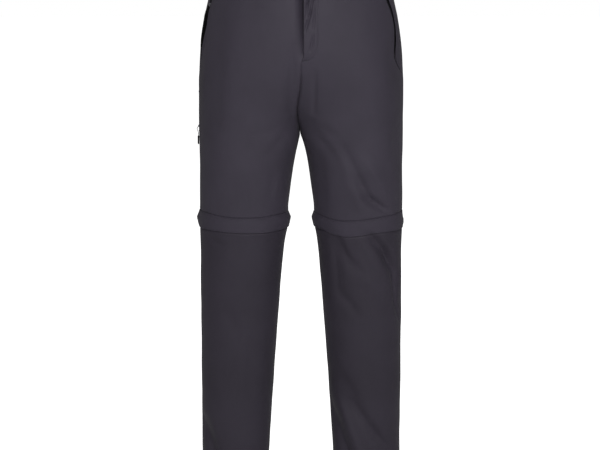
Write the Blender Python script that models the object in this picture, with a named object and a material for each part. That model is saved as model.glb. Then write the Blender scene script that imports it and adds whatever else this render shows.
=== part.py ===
"""Convertible zip-off trousers, hollow and filled out as when worn, legs a little apart.

Metres, +Z up. The origin is the middle of the waist opening, level with the top of the
waistband. The front faces -Y, and the wearer's left leg (leg = 1) is on the +X side.
A place on the cloth is given by its leg, its height z and u, the distance round the leg from
the side seam: minus over the front, plus over the back.
"""
from collections import namedtuple
from functools import lru_cache
from math import pi

import bmesh
import bpy
import numpy as np
from mathutils import Matrix, Vector

NAME = "Convertible_Zip_Off_Trousers"
MM = 0.001
LEFT, RIGHT = 1, -1
FRONT, BACK = -1, 1

# Driving dimensions.
LENGTH = 1100 * MM
BAND_HEIGHT = 40 * MM
BAND_THICK = 2.2 * MM
BAND_PROUD = 0.3 * MM
BAND_UNDERLAP = 38 * MM
BAND_DIP_START = 15 * MM
BAND_DIP_LONG = 18 * MM
BAND_COLUMNS = 12
CLOTH = 1.5 * MM
TAPE = 1.0 * MM
GAP = 0.3 * MM
FLY_EDGE = 5 * MM
FLY_BOTTOM = 208 * MM
FLY_LIFT = 1.6 * MM
FLY_UNDERLAP = 14 * MM
FLY_DIVE = 1.6 * MM
FLY_DIVE_START = 12 * MM
FLY_DIVE_LONG = 14 * MM
FLY_BLEND = 30 * MM
FLY_LEVEL_OFF = 8 * MM
FLY_TAPE_DEPTH = FLY_DIVE + CLOTH + 2 * GAP
FLY_TAPE = [2 * MM, 14 * MM, 24 * MM, 34 * MM]
FLY_SLIDER_FROM_MIDDLE = 19 * MM
FLY_SLIDER_Z = -52 * MM
SEAM_COLUMN = 8 * MM
KNEE_SPLIT = 527 * MM
KNEE_COIL = 4 * MM
COIL_PROUD = 1.0 * MM
RISE_SWAY = 7.5 * MM

# One row for each level of the body, in millimetres: height, half width over both legs, distance
# from the middle plane to the inner edge, how far the legs have parted (0 a single tube, 1 two
# legs), depth of the front and of the back, and how square the inner side of the leg is.
Section = namedtuple("Section", "z outer inner split front back square")
SECTIONS = [
    Section(0, 164.0, 0.15, 0.0, 120, 122, 2.2),
    Section(-40, 172.0, 0.15, 0.0, 123, 127, 2.2),
    Section(-90, 182.8, 0.15, 0.0, 126, 133, 2.2),
    Section(-130, 191.2, 0.15, 0.02, 128, 138, 2.2),
    Section(-170, 197.0, 0.15, 0.08, 128, 142, 2.2),
    Section(-210, 200.4, 0.15, 0.24, 125, 142, 2.2),
    Section(-250, 202.0, 0.15, 0.6, 116, 134, 2.3),
    Section(-270, 202.0, 0.15, 0.8, 110, 127, 2.5),
    Section(-282, 202.0, 0.15, 0.92, 106, 122, 2.7),
    Section(-290, 202.0, 0.2, 1.0, 104, 118, 2.8),
    Section(-325, 202.0, 0.4, 1.0, 100, 110, 2.8),
    Section(-350, 202.0, 1.4, 1.0, 97, 105, 2.6),
    Section(-365, 201.9, 3.8, 1.0, 96, 103, 2.4),
    Section(-385, 201.8, 8.7, 1.0, 94, 100, 2.2),
    Section(-405, 201.6, 12.6, 1.0, 92, 97, 2.1),
    Section(-445, 201.4, 18.9, 1.0, 87, 90, 2.0),
    Section(-485, 201.5, 24.4, 1.0, 82, 84, 2.0),
    Section(-527, 201.5, 28.4, 1.0, 77, 78, 2.0),
    Section(-586, 201.1, 34.8, 1.0, 73, 75, 2.0),
    Section(-648, 201.1, 40.2, 1.0, 70, 73, 2.0),
    Section(-730, 201.0, 46.7, 1.0, 66, 70, 2.0),
    Section(-812, 200.8, 52.9, 1.0, 63, 66, 2.0),
    Section(-894, 200.6, 58.3, 1.0, 60, 62, 2.0),
    Section(-1000, 200.2, 65.0, 1.0, 58, 59, 2.0),
    Section(-1100, 199.5, 70.5, 1.0, 57, 58, 2.0),
]
OUTER_SQUARE = 2.12
OUTLINE_STEPS = 121

# Heights of the rows of points, in millimetres: the upper part down to the knee zip, and the
# lower leg from the knee zip to the hem.
UPPER_ROWS = [-40.3, -66, -90, -104, -120, -140, -165, -190, -202, -208, -212, -222, -240, -242, -262,
              -270, -281, -290, -300, -320, -345, -352, -375, -402, -432, -462, -490, -511, -525]
LOWER_ROWS = [-529, -538, -560, -585, -612, -640, -672, -708, -745, -785, -828, -872, -912, -948,
              -982, -1018, -1060, -1100]
COLUMNS = 9

# The largest folds, in millimetres as seen from the front or the back: leg, face, the two ends
# of the fold's bottom line, the width of the fold and its depth (minus for a ridge).
Fold = namedtuple("Fold", "leg face x0 z0 x1 z1 width depth")
FOLDS = [
    Fold(LEFT, FRONT, 104, -418, 150, -492, 15, 5.0),
    Fold(LEFT, FRONT, 122, -408, 166, -478, 12, -2.5),
    Fold(LEFT, FRONT, 20, -335, 66, -392, 14, 3.0),
    Fold(LEFT, FRONT, 182, -340, 186, -402, 14, 3.0),
    Fold(LEFT, FRONT, 76, -560, 112, -602, 13, 4.0),
    Fold(LEFT, FRONT, 138, -556, 184, -640, 14, 5.0),
    Fold(LEFT, FRONT, 116, -915, 160, -990, 15, 4.5),
    Fold(LEFT, FRONT, 84, -930, 74, -1040, 13, 4.0),
    Fold(RIGHT, FRONT, -176, -556, -150, -590, 12, 3.5),
    Fold(RIGHT, FRONT, -192, -950, -150, -1060, 14, 4.5),
    Fold(RIGHT, FRONT, -24, -332, -60, -380, 13, 2.5),
    Fold(LEFT, BACK, 40, -312, 150, -280, 22, 3.5),
    Fold(RIGHT, BACK, -44, -322, -158, -296, 20, 3.2),
    Fold(LEFT, BACK, 62, -470, 150, -498, 14, 4.5),
    Fold(RIGHT, BACK, -70, -480, -160, -462, 14, 4.0),
    Fold(LEFT, BACK, 78, -590, 168, -564, 13, 4.0),
    Fold(RIGHT, BACK, -80, -572, -150, -616, 13, 4.5),
    Fold(LEFT, BACK, 96, -1010, 168, -962, 14, 4.5),
    Fold(RIGHT, BACK, -100, -960, -172, -1020, 14, 4.5),
]
FOLD_FREE_KNEE = 20 * MM
FOLD_FREE_EDGE = 0.3

# The hand pockets, in millimetres: height, distance of the front panel's edge ahead of the side
# seam, and the width of the open mouth. The left mouth is closed by its zip, the right one gapes.
Pocket = namedtuple("Pocket", "z edge mouth")
HAND_POCKET = {
    LEFT: [
        Pocket(-40, 66, 8.0), Pocket(-66, 63, 8.0), Pocket(-90, 60, 7.0), Pocket(-104, 54.5, 7.0),
        Pocket(-120, 51, 7.0), Pocket(-140, 49.5, 7.0), Pocket(-165, 55, 7.0), Pocket(-190, 61, 6.0),
        Pocket(-202, 57, 0.3), Pocket(-222, 40, 0.3), Pocket(-240, 3, 0.3), Pocket(-242, 0.15, 0.3),
    ],
    RIGHT: [
        Pocket(-40, 44, 8.0), Pocket(-90, 41, 8.0), Pocket(-104, 40, 9.0), Pocket(-120, 43.5, 20.0),
        Pocket(-140, 46, 22.0), Pocket(-165, 40, 15.0), Pocket(-190, 31, 4.0), Pocket(-202, 27, 0.3),
        Pocket(-222, 18, 0.3), Pocket(-240, 3, 0.3), Pocket(-242, 0.15, 0.3),
    ],
}
HAND_ZIP_END = -202
FACING_END = -240
HAND_SLIDER_Z = {LEFT: -56 * MM, RIGHT: -98 * MM}

# The thigh pocket's zip lies in the right side seam.
THIGH_ZIP_TOP, THIGH_ZIP_END = -270, -345
THIGH_MOUTH = 7 * MM
THIGH_SLIDER_Z = -337 * MM

COIL_HALF = 1.9 * MM
TAPE_DEPTH = 1.8 * MM
COIL_DEPTH = 1.4 * MM

# Slider: a channel-shaped body with a pull between its two walls.
SLIDER_LONG = 8.5 * MM
SLIDER_WIDE = 6.2 * MM
SLIDER_BODY = 1.4 * MM
LUG_TALL = 1.9 * MM
CHANNEL_HALF = 1.3 * MM
LUG_HALF = 2.2 * MM
SLIDER_BASE = COIL_DEPTH - GAP
PIN_HEIGHT = SLIDER_BODY + 1.0 * MM - SLIDER_BASE
PULL_THICK = 0.9 * MM
PULL_NECK_HALF = CHANNEL_HALF - GAP
PULL_HALF = 2.3 * MM
PULL_LONG = 17 * MM

# Knee flap: the share of the way down it for each of its rows and how far its underside stands
# off the leg there, in millimetres. It bulges over the slider that hides under it at the side.
Flap = namedtuple("Flap", "down clear")
FLAP_ROWS = [Flap(0, 0.5), Flap(0.26, 1.3), Flap(0.52, 1.6), Flap(0.67, 1.7), Flap(1, 1.4)]

# The flap sags over the front: the heights of its top and its free edge, in millimetres, at
# shares of the way from the side seam (0) to the inner edge (1). The back runs straight.
Sag = namedtuple("Sag", "share top end")
FLAP_SAG = {
    LEFT: [
        Sag(0, -504, -538), Sag(0.13, -506, -540), Sag(0.3, -511.5, -541), Sag(0.4, -514.5, -543.5),
        Sag(0.51, -517.8, -547.5), Sag(0.62, -519.3, -549.3), Sag(0.71, -517.8, -547.5),
        Sag(0.82, -512.5, -539), Sag(1, -507, -536),
    ],
    RIGHT: [
        Sag(0, -503.5, -537.5), Sag(0.19, -505.5, -538), Sag(0.32, -509.8, -539.3),
        Sag(0.44, -512.8, -541.2), Sag(0.55, -513.3, -542.3), Sag(0.66, -512.6, -542.5),
        Sag(0.74, -510.5, -541.5), Sag(0.9, -508, -538.5), Sag(1, -507.5, -537),
    ],
}
FLAP_THICK = 1.4 * MM
KNEE_BULGE = {LEFT: 2.8 * MM, RIGHT: 4.6 * MM}
KNEE_BULGE_Z = {LEFT: -524 * MM, RIGHT: -519 * MM}
BULGE_ROUND = 14 * MM
BULGE_DOWN = 11 * MM
KNEE_SLIDER_LONG = 9 * MM
KNEE_SLIDER_TALL = 7 * MM
KNEE_SLIDER_THICK = 1.3 * MM

BUTTON_RADIUS = 8.5 * MM
BUTTON_THICK = 3 * MM
BUTTON_FROM_EDGE = 14 * MM


def empty_scene():
    for old in list(bpy.data.objects):
        bpy.data.objects.remove(old, do_unlink=True)


def principled(name, colour, roughness, metallic=0.0):
    material = bpy.data.materials.new(name)
    material.use_nodes = True
    shader = material.node_tree.nodes["Principled BSDF"]
    shader.inputs["Base Color"].default_value = (*colour, 1.0)
    shader.inputs["Roughness"].default_value = roughness
    shader.inputs["Metallic"].default_value = metallic
    return material


# The form of the body


def level_curve(column, scale):
    """A smooth curve through one column of the sections that never swings past them."""
    z = np.array([row.z for row in SECTIONS][::-1]) * MM
    value = np.array([getattr(row, column) for row in SECTIONS][::-1], float) * scale
    step = np.diff(z)
    slope = np.diff(value) / step
    tangent = np.zeros(len(z))
    tangent[0], tangent[-1] = slope[0], slope[-1]
    for i in range(1, len(z) - 1):
        if slope[i - 1] * slope[i] > 0:
            tangent[i] = 2 * slope[i - 1] * slope[i] / (slope[i - 1] + slope[i])

    def at(height):
        i = int(np.clip(np.searchsorted(z, height) - 1, 0, len(step) - 1))
        t = float(np.clip((height - z[i]) / step[i], 0, 1))
        return (
            value[i] * (1 + 2 * t) * (1 - t) ** 2
            + tangent[i] * step[i] * t * (1 - t) ** 2
            + value[i + 1] * t * t * (3 - 2 * t)
            + tangent[i + 1] * step[i] * t * t * (t - 1)
        )

    return at


LEVEL = {
    column: level_curve(column, 1 if column in ("split", "square") else MM)
    for column in ("outer", "inner", "split", "front", "back", "square")
}


@lru_cache(maxsize=None)
def outline(face, z):
    """The leg's outline at one level from its inner edge to the side seam, and how far along it is."""
    outer, inner, square = LEVEL["outer"](z), LEVEL["inner"](z), LEVEL["square"](z)
    split = float(np.clip(LEVEL["split"](z), 0, 1))
    half = outer / (1 + split)
    start = np.arccos(-(split ** (square / 2)))
    turn = np.linspace(start, 0, OUTLINE_STEPS)
    across, deep = np.cos(turn), np.abs(np.sin(turn))
    power = np.where(across < 0, 2 / square, 2 / OUTER_SQUARE)
    x = outer - half + half * np.sign(across) * np.abs(across) ** power
    x = inner + x * (outer - inner) / outer
    y = face * (LEVEL["front"](z) if face == FRONT else LEVEL["back"](z)) * deep**power
    along = np.concatenate([[0], np.cumsum(np.hypot(np.diff(x), np.diff(y)))])
    return x, y, along


def around(face, z):
    """The distance round the front or the back, from the inner edge to the side seam."""
    return outline(face, z)[2][-1]


def bare(leg, share, z):
    """Points of the smooth body: share is -1 at the front's inner edge, 0 at the side, 1 at the back's."""
    share = np.asarray(share, float)
    other = share < -1
    inside = np.where(other, -2 - share, share)
    points = np.empty((len(inside), 3))
    for face in (FRONT, BACK):
        x, y, along = outline(face, z)
        here = inside <= 0 if face == FRONT else inside > 0
        way = along[-1] * (1 - np.abs(inside[here]))
        points[here, 0] = np.interp(way, along, x)
        points[here, 1] = np.interp(way, along, y)
    points[:, 0] *= np.where(other, -leg, leg)
    points[:, 2] = z
    reach = np.clip(1 - np.abs(points[:, 0]) / LEVEL["outer"](z), 0, 1)
    points[:, 0] -= RISE_SWAY * np.exp(-(((z / MM + 305) / 40) ** 2)) * reach**2
    return points


def outward(leg, share, z):
    """Unit normals of the smooth body."""
    share = np.asarray(share, float)
    step = 0.002
    low = np.where(share < -1, share - step, np.maximum(share - step, -1))
    high = np.minimum(share + step, 1)
    top, bottom = min(z + 0.5 * MM, 0.0), max(z - 0.5 * MM, -LENGTH)
    round_way = bare(leg, high, z) - bare(leg, low, z)
    up_way = bare(leg, share, top) - bare(leg, share, bottom)
    normal = np.cross(round_way, up_way) * leg
    return normal / np.linalg.norm(normal, axis=1)[:, None]


def folded(leg, share, points, z):
    """How far the folds push each point outward. They fade at the seams and at the knee zip."""
    push = np.zeros(len(points))
    for face in (FRONT, BACK):
        here = share <= 0 if face == FRONT else share > 0
        deepest = LEVEL["front"](z) if face == FRONT else LEVEL["back"](z)
        fade = np.clip(np.abs(points[:, 1]) / (FOLD_FREE_EDGE * deepest), 0, 1)
        fade = fade * fade * (3 - 2 * fade)
        for fold in FOLDS:
            if fold.leg != leg or fold.face != face:
                continue
            start = np.array([fold.x0, fold.z0]) * MM
            way = np.array([fold.x1, fold.z1]) * MM - start
            from_start = np.column_stack([points[:, 0], np.full(len(points), z)]) - start
            t = np.clip(from_start @ way / (way @ way), 0, 1)
            away = np.linalg.norm(from_start - t[:, None] * way, axis=1)
            swell = np.sin(pi * (0.15 + 0.7 * t))
            shape = fold.depth * MM * np.exp(-((away / (fold.width * MM)) ** 2)) * swell
            push -= np.where(here, shape * fade, 0)
    return push * (1 - np.exp(-(((z + KNEE_SPLIT) / FOLD_FREE_KNEE) ** 2)))


def cloth(leg, u, z, off):
    """Points on the cloth at the distances u round the leg, moved out by off."""
    u = np.asarray(u, float)
    share = np.where(u <= 0, u / around(FRONT, z), u / around(BACK, z))
    points = bare(leg, share, z)
    push = np.broadcast_to(off, u.shape) + folded(leg, share, points, z)
    return points + outward(leg, share, z) * push[:, None]


def seat(leg, u, z, off, lean=0.0):
    """A frame on the cloth: X round the leg, Y up it and Z outward. lean turns Y by u for each z."""
    point = cloth(leg, [u], z, off)[0]
    step = 3 * MM
    up = Vector(cloth(leg, [u + lean * step], z + step, off)[0] - point)
    out = Vector(outward(leg, [u / around(FRONT if u <= 0 else BACK, z)], z)[0])
    up = (up - out * up.dot(out)).normalized()
    frame = Matrix([up.cross(out), up, out]).transposed().to_4x4()
    frame.translation = Vector(point)
    return frame


# Making solids


def finish(name, bm, material, matrix=None):
    """Makes the object, with its faces turned outward and round parts shaded smooth."""
    bmesh.ops.recalc_face_normals(bm, faces=bm.faces)
    mesh = bpy.data.meshes.new(name)
    bm.to_mesh(mesh)
    bm.free()
    mesh.materials.append(material)
    mesh.shade_smooth()
    mesh.set_sharp_from_angle(angle=pi / 5)
    piece = bpy.data.objects.new(name, mesh)
    if matrix is not None:
        piece.matrix_world = matrix
    trousers.objects.link(piece)
    return piece


def wall(name, outer, inner, material, closed=False):
    """A cloth wall between two grids of points. A closed one runs round and meets itself."""
    bm = bmesh.new()
    rows, columns = len(outer), len(outer[0])
    skins = [[[bm.verts.new(p) for p in row] for row in grid] for grid in (outer, inner)]
    turns = columns if closed else columns - 1
    for skin in skins:
        for r in range(rows - 1):
            for c in range(turns):
                d = (c + 1) % columns
                bm.faces.new((skin[r][c], skin[r + 1][c], skin[r + 1][d], skin[r][d]))
    for r in (0, rows - 1):
        for c in range(turns):
            d = (c + 1) % columns
            bm.faces.new((skins[0][r][c], skins[0][r][d], skins[1][r][d], skins[1][r][c]))
    for c in () if closed else (0, columns - 1):
        for r in range(rows - 1):
            bm.faces.new((skins[0][r][c], skins[0][r + 1][c], skins[1][r + 1][c], skins[1][r][c]))
    return finish(name, bm, material)


def swept_ring(name, loops, material):
    """A ring whose closed cross-section is given at each place round it."""
    bm = bmesh.new()
    rings = [[bm.verts.new(p) for p in loop] for loop in loops]
    for here, beyond in zip(rings, rings[1:] + rings[:1]):
        for i in range(len(here)):
            j = (i + 1) % len(here)
            bm.faces.new((here[i], here[j], beyond[j], beyond[i]))
    return finish(name, bm, material)


def prism(name, outline_points, low, high, axis, material, matrix):
    """An outline in two of the local axes, extruded along the third from low to high."""
    bm = bmesh.new()
    corners = [bm.verts.new(Vector(np.insert(p, axis, low))) for p in outline_points]
    face = bm.faces.new(corners)
    grown = bmesh.ops.extrude_face_region(bm, geom=[face])["geom"]
    shift = Vector(np.insert((0.0, 0.0), axis, high - low))
    bmesh.ops.translate(bm, vec=shift, verts=[v for v in grown if isinstance(v, bmesh.types.BMVert)])
    return finish(name, bm, material, matrix)


def side_name(leg):
    return "left" if leg == LEFT else "right"


# The cloth panels


def pocket_line(leg, z):
    """How far ahead of the side seam the front panel ends, and the width of the pocket's mouth."""
    rows = HAND_POCKET[leg][::-1]
    heights = [row.z * MM for row in rows]
    edge = np.interp(z, heights, [row.edge for row in rows]) * MM
    mouth = np.interp(z, heights, [row.mouth for row in rows]) * MM
    return float(edge), float(mouth)


def side_slit(leg, z):
    """Half the width of the opening in the side seam, where the thigh pocket's zip lies."""
    open_here = leg == RIGHT and THIGH_ZIP_END * MM <= z <= THIGH_ZIP_TOP * MM
    return THIGH_MOUTH / 2 if open_here else GAP / 2


def front_edge(leg, z):
    """Where the front panel ends towards the side seam."""
    return -max(pocket_line(leg, z)[0], side_slit(leg, z))


def front_start(leg, z):
    """Where the front panel begins: at the middle, at the fly's edge, or under the fly."""
    middle = -around(FRONT, z)
    if z < -FLY_BOTTOM:
        return middle + GAP / 2
    return middle + FLY_EDGE if leg == LEFT else middle - FLY_UNDERLAP


def front_columns(leg, z):
    """The front's columns, with a narrow one along the side seam."""
    edge = front_edge(leg, z)
    wide = np.linspace(front_start(leg, z), edge - SEAM_COLUMN, COLUMNS + 1)
    return np.append(wide, edge)


def back_columns(leg, z):
    edge = side_slit(leg, z)
    return np.append(edge, np.linspace(edge + SEAM_COLUMN, around(BACK, z) - GAP / 2, COLUMNS + 1))


def fly_lift(leg, u, z):
    """The left front lies over the right one at the fly, which dips under it."""
    from_middle = u + around(FRONT, z)
    below_band = np.clip((-z - BAND_HEIGHT) / FLY_DIVE_START, 0, 1)
    above_end = np.clip((z + FLY_BOTTOM + FLY_LEVEL_OFF + FLY_DIVE_LONG) / FLY_DIVE_LONG, 0, 1)
    if leg == LEFT:
        fade = np.clip((from_middle - FLY_EDGE) / FLY_BLEND, 0, 1)
        return FLY_LIFT * (1 - fade) ** 2 * (0.6 + 0.4 * below_band) * above_end
    fade = np.clip((FLY_DIVE_START - from_middle) / FLY_DIVE_LONG, 0, 1)
    return -FLY_DIVE * fade * above_end


def panel(name, leg, rows, columns, material, lift=None):
    """A panel of cloth, from a list of levels and a rule for its columns."""
    outer, inner = [], []
    for z in (row * MM for row in rows):
        u = columns(leg, z)
        off = lift(leg, u, z) if lift else 0.0
        outer.append(cloth(leg, u, z, off))
        inner.append(cloth(leg, u, z, off - CLOTH))
    wall(name, outer, inner, material)


def facing_columns(leg, z):
    """The pocket facing, from the mouth's back edge to the side seam."""
    edge, mouth = pocket_line(leg, z)
    start, end = -edge + mouth, -GAP / 2
    start = min(start, end - 2 * MM)
    seam = min(SEAM_COLUMN, (end - start) / 3)
    return np.array([start, start + seam, (start + seam + end) / 2, end])


def make_panels(upper_cloth, lower_cloth):
    facing_rows = [z for z in UPPER_ROWS if z >= FACING_END]
    for leg in (LEFT, RIGHT):
        side = side_name(leg)
        panel("front_" + side, leg, UPPER_ROWS, front_columns, upper_cloth, fly_lift)
        panel("back_" + side, leg, UPPER_ROWS, back_columns, upper_cloth)
        panel("pocket_facing_" + side, leg, facing_rows, facing_columns, upper_cloth)
        panel("lower_front_" + side, leg, LOWER_ROWS, front_columns, lower_cloth)
        panel("lower_back_" + side, leg, LOWER_ROWS, back_columns, lower_cloth)


# The waistband and its button


def make_waistband(material):
    """A strip whose left end lies over its right end at the middle of the front."""
    outer, inner = [], []
    for z in (0.0, -BAND_HEIGHT / 2, -BAND_HEIGHT):
        front, back = around(FRONT, z), around(BACK, z)
        across_back = np.linspace(0, back, BAND_COLUMNS)
        left = np.append(np.linspace(FLY_EDGE - front, 0, BAND_COLUMNS), across_back[1:])
        across_front = np.linspace(0, BAND_DIP_START - front, BAND_COLUMNS - 1)
        under = -front - np.linspace(0, BAND_UNDERLAP, 5)
        right = np.concatenate([across_back[-2::-1], across_front[1:], under])
        dip = np.clip((BAND_DIP_START - front - right) / BAND_DIP_LONG, 0, 1)
        dip = dip * dip * (3 - 2 * dip) * (BAND_THICK + GAP)
        for grid, off in ((outer, BAND_PROUD), (inner, BAND_PROUD - BAND_THICK)):
            row = [cloth(LEFT, left, z, off), cloth(RIGHT, right, z, off - dip)]
            grid.append(np.concatenate(row))
    wall("waistband", outer, inner, material)


def make_button(material):
    z = -BAND_HEIGHT / 2
    u = FLY_EDGE + BUTTON_FROM_EDGE - around(FRONT, z)
    matrix = seat(LEFT, u, z, BAND_PROUD + 1.5 * GAP)
    bm = bmesh.new()
    bmesh.ops.create_cone(
        bm, cap_ends=True, segments=24, radius1=BUTTON_RADIUS, radius2=BUTTON_RADIUS, depth=BUTTON_THICK
    )
    rims = [e for e in bm.edges if abs(e.verts[0].co.z - e.verts[1].co.z) < 1e-6]
    bmesh.ops.bevel(bm, geom=rims, offset=0.7 * MM, segments=1, affect="EDGES")
    bmesh.ops.translate(bm, vec=(0, 0, BUTTON_THICK / 2), verts=bm.verts)
    finish("waist_button", bm, material, matrix)


# Zips, sliders and pulls


def make_strip(name, leg, rows, columns, material):
    """A zip behind its mouth: a tape with the coil as a low ridge along the middle."""
    outer, inner = [], []
    for z in (row * MM for row in rows):
        u, depth = columns(leg, z)
        outer.append(cloth(leg, u, z, -depth))
        inner.append(cloth(leg, u, z, -TAPE_DEPTH - TAPE))
    wall(name, outer, inner, material)


def tape_across(start, end):
    """A zip's columns behind a mouth from start to end, and how deep its face lies at each."""
    middle = (start + end) / 2
    is_open = end - start > 2 * (COIL_HALF + GAP)
    side = (end - start) / 2 if is_open else COIL_HALF + GAP
    u = [start - SEAM_COLUMN, middle - side, middle - COIL_HALF]
    u += [middle + COIL_HALF, middle + side, end + SEAM_COLUMN]
    coil = COIL_DEPTH if is_open else TAPE_DEPTH
    return np.array(u), np.array([TAPE_DEPTH, TAPE_DEPTH, coil, coil, TAPE_DEPTH, TAPE_DEPTH])


def hand_zip_columns(leg, z):
    edge, mouth = pocket_line(leg, z)
    return tape_across(-edge, mouth - edge)


def thigh_zip_columns(leg, z):
    half = side_slit(leg, z)
    return tape_across(-half, half)


def slider_outline():
    """Cross-section of a slider: its body with two low walls, open between them for the pull."""
    half, top = SLIDER_WIDE / 2, SLIDER_BODY + LUG_TALL
    right = [
        (half, 0), (half, SLIDER_BODY - 0.4 * MM), (LUG_HALF, SLIDER_BODY), (LUG_HALF, top),
        (CHANNEL_HALF, top), (CHANNEL_HALF, SLIDER_BODY),
    ]
    return right + [(-x, z) for x, z in right[::-1]]


def tab_outline():
    """Outline of a flat pull tab that hangs from the slider's pin, at the local origin."""
    neck, half, end = PULL_NECK_HALF, PULL_HALF, -PULL_LONG
    right = [(neck, 0.65 * MM), (neck, -5 * MM), (half, -7 * MM), (half, end + 2 * MM),
             (half - 1.4 * MM, end)]
    return [(-x, y) for x, y in right] + right[::-1]


def make_hand_zip(leg, tape, metal, pull_material):
    side = side_name(leg)
    rows = [z for z in UPPER_ROWS if z >= HAND_ZIP_END]
    make_strip("hand_pocket_zip_" + side, leg, rows, hand_zip_columns, tape)
    z = HAND_SLIDER_Z[leg]
    edge, mouth = pocket_line(leg, z)
    above, mouth_above = pocket_line(leg, z + 3 * MM)
    lean = ((mouth_above / 2 - above) - (mouth / 2 - edge)) / (3 * MM)
    u = mouth / 2 - edge
    base = seat(leg, u, z, -SLIDER_BASE, lean)
    half = SLIDER_LONG / 2
    prism("hand_pocket_slider_" + side, slider_outline(), -half, half, 1, metal, base)
    pin = seat(leg, u, z, PIN_HEIGHT, lean)
    thick = PULL_THICK / 2
    prism("hand_pocket_pull_" + side, tab_outline(), -thick, thick, 2, pull_material, pin)


def hook_outline():
    """Side view of the thigh pocket's pull: a loop that bows outward, then a thick end."""
    hook = [(0.65, -0.45), (0.65, 0.45), (-1.5, 1.4), (-4.2, 2.9), (-6.8, 3.3), (-8.8, 2.6), (-10.8, 1.2),
            (-13.0, 0.7), (-16.6, 0.6), (-17.6, 1.9), (-33.0, 1.9), (-34.4, 0.9), (-34.4, -0.4),
            (-17.6, -0.5), (-16.6, -0.4), (-13.0, -0.3), (-10.4, 0.1), (-8.4, 1.4), (-6.6, 2.1),
            (-4.6, 1.8), (-2.0, 0.2)]
    return [(y * MM, z * MM) for y, z in hook]


def make_thigh_zip(tape, metal, pull_material):
    above, below = UPPER_ROWS.index(THIGH_ZIP_TOP) - 1, UPPER_ROWS.index(THIGH_ZIP_END) + 1
    rows = UPPER_ROWS[above : below + 1]
    make_strip("thigh_pocket_zip", RIGHT, rows, thigh_zip_columns, tape)
    base = seat(RIGHT, 0.0, THIGH_SLIDER_Z, -SLIDER_BASE)
    half = SLIDER_LONG / 2
    prism("thigh_pocket_slider", slider_outline(), -half, half, 1, metal, base)
    pin = seat(RIGHT, 0.0, THIGH_SLIDER_Z, PIN_HEIGHT)
    neck = PULL_NECK_HALF
    prism("thigh_pocket_pull", hook_outline(), -neck, neck, 0, pull_material, pin)


def make_fly_zip(tape, metal):
    rows = [z for z in UPPER_ROWS if z >= HAND_ZIP_END]
    outer, inner = [], []
    for z in (row * MM for row in rows):
        u = FLY_TAPE - around(FRONT, z)
        outer.append(cloth(LEFT, u, z, -FLY_TAPE_DEPTH))
        inner.append(cloth(LEFT, u, z, -FLY_TAPE_DEPTH - TAPE))
    wall("fly_zip", outer, inner, tape)
    u = FLY_SLIDER_FROM_MIDDLE - around(FRONT, FLY_SLIDER_Z)
    base = seat(LEFT, u, FLY_SLIDER_Z, GAP - FLY_TAPE_DEPTH)
    plate = [(-3.3, 0), (3.3, 0), (3.3, 0.6), (2.6, 1.0), (-2.6, 1.0), (-3.3, 0.6)]
    plate = [(x * MM, y * MM) for x, y in plate]
    prism("fly_slider", plate, -4.5 * MM, 4.5 * MM, 1, metal, base)


# The knee: the zip that takes the lower leg off, and the flap that covers it


def knee_round(leg, z):
    """Columns right round the leg, the same as the panels' there."""
    front = front_columns(leg, z)
    back = back_columns(leg, z)
    return np.concatenate([front[:-1], [0.0], back[1:-1]])


def flap_height(leg, share, down):
    """The height of a point on the flap, at a share round the leg and a share of the way down."""
    rows = FLAP_SAG[leg] if share <= 0 else [FLAP_SAG[leg][0], FLAP_SAG[leg][-1]]
    places = [row.share for row in rows]
    top = np.interp(abs(share), places, [row.top for row in rows])
    end = np.interp(abs(share), places, [row.end for row in rows])
    return float(top + (end - top) * down) * MM


def make_knee_flap(leg, material):
    columns = knee_round(leg, -KNEE_SPLIT)
    half_way = np.where(columns <= 0, around(FRONT, -KNEE_SPLIT), around(BACK, -KNEE_SPLIT))
    shares = columns / half_way
    outer, inner = [], []
    for row in FLAP_ROWS:
        line = []
        for share in shares:
            z = flap_height(leg, share, row.down)
            u = share * around(FRONT if share <= 0 else BACK, z)
            bulge = np.exp(-((u / BULGE_ROUND) ** 2) - ((z - KNEE_BULGE_Z[leg]) / BULGE_DOWN) ** 2)
            clear = row.clear * MM + KNEE_BULGE[leg] * bulge
            line.append(cloth(leg, [u, u], z, np.array([clear + FLAP_THICK, clear])))
        line = np.array(line)
        outer.append(line[:, 0])
        inner.append(line[:, 1])
    wall("knee_flap_" + side_name(leg), outer, inner, material, closed=True)


def make_knee_zip(leg, tape, metal):
    """Both tapes of the closed zip with its coil between the ends of the cloth."""
    coil, reach = KNEE_COIL / 2 - GAP, 10 * MM
    half = [(reach, TAPE_DEPTH), (coil, TAPE_DEPTH), (coil, -COIL_PROUD)]
    section = [(KNEE_SPLIT - z, depth) for z, depth in half]
    section += [(KNEE_SPLIT + z, depth) for z, depth in half[::-1]]
    section += [(KNEE_SPLIT + reach, TAPE_DEPTH + TAPE), (KNEE_SPLIT - reach, TAPE_DEPTH + TAPE)]
    lines = [cloth(leg, knee_round(leg, -z), -z, -depth) for z, depth in section]
    swept_ring("knee_zip_" + side_name(leg), np.swapaxes(np.array(lines), 0, 1), tape)
    base = seat(leg, 0.0, -KNEE_SPLIT, COIL_PROUD + GAP)
    long, thick, tall = KNEE_SLIDER_LONG / 2, KNEE_SLIDER_THICK, KNEE_SLIDER_TALL / 2
    plate = [(-long, 0), (long, 0), (long, 0.6 * thick), (long - thick, thick), (thick - long, thick),
             (-long, 0.6 * thick)]
    prism("knee_slider_" + side_name(leg), plate, -tall, tall, 1, metal, base)


empty_scene()
trousers = bpy.data.collections.new(NAME)
bpy.context.scene.collection.children.link(trousers)

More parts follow.
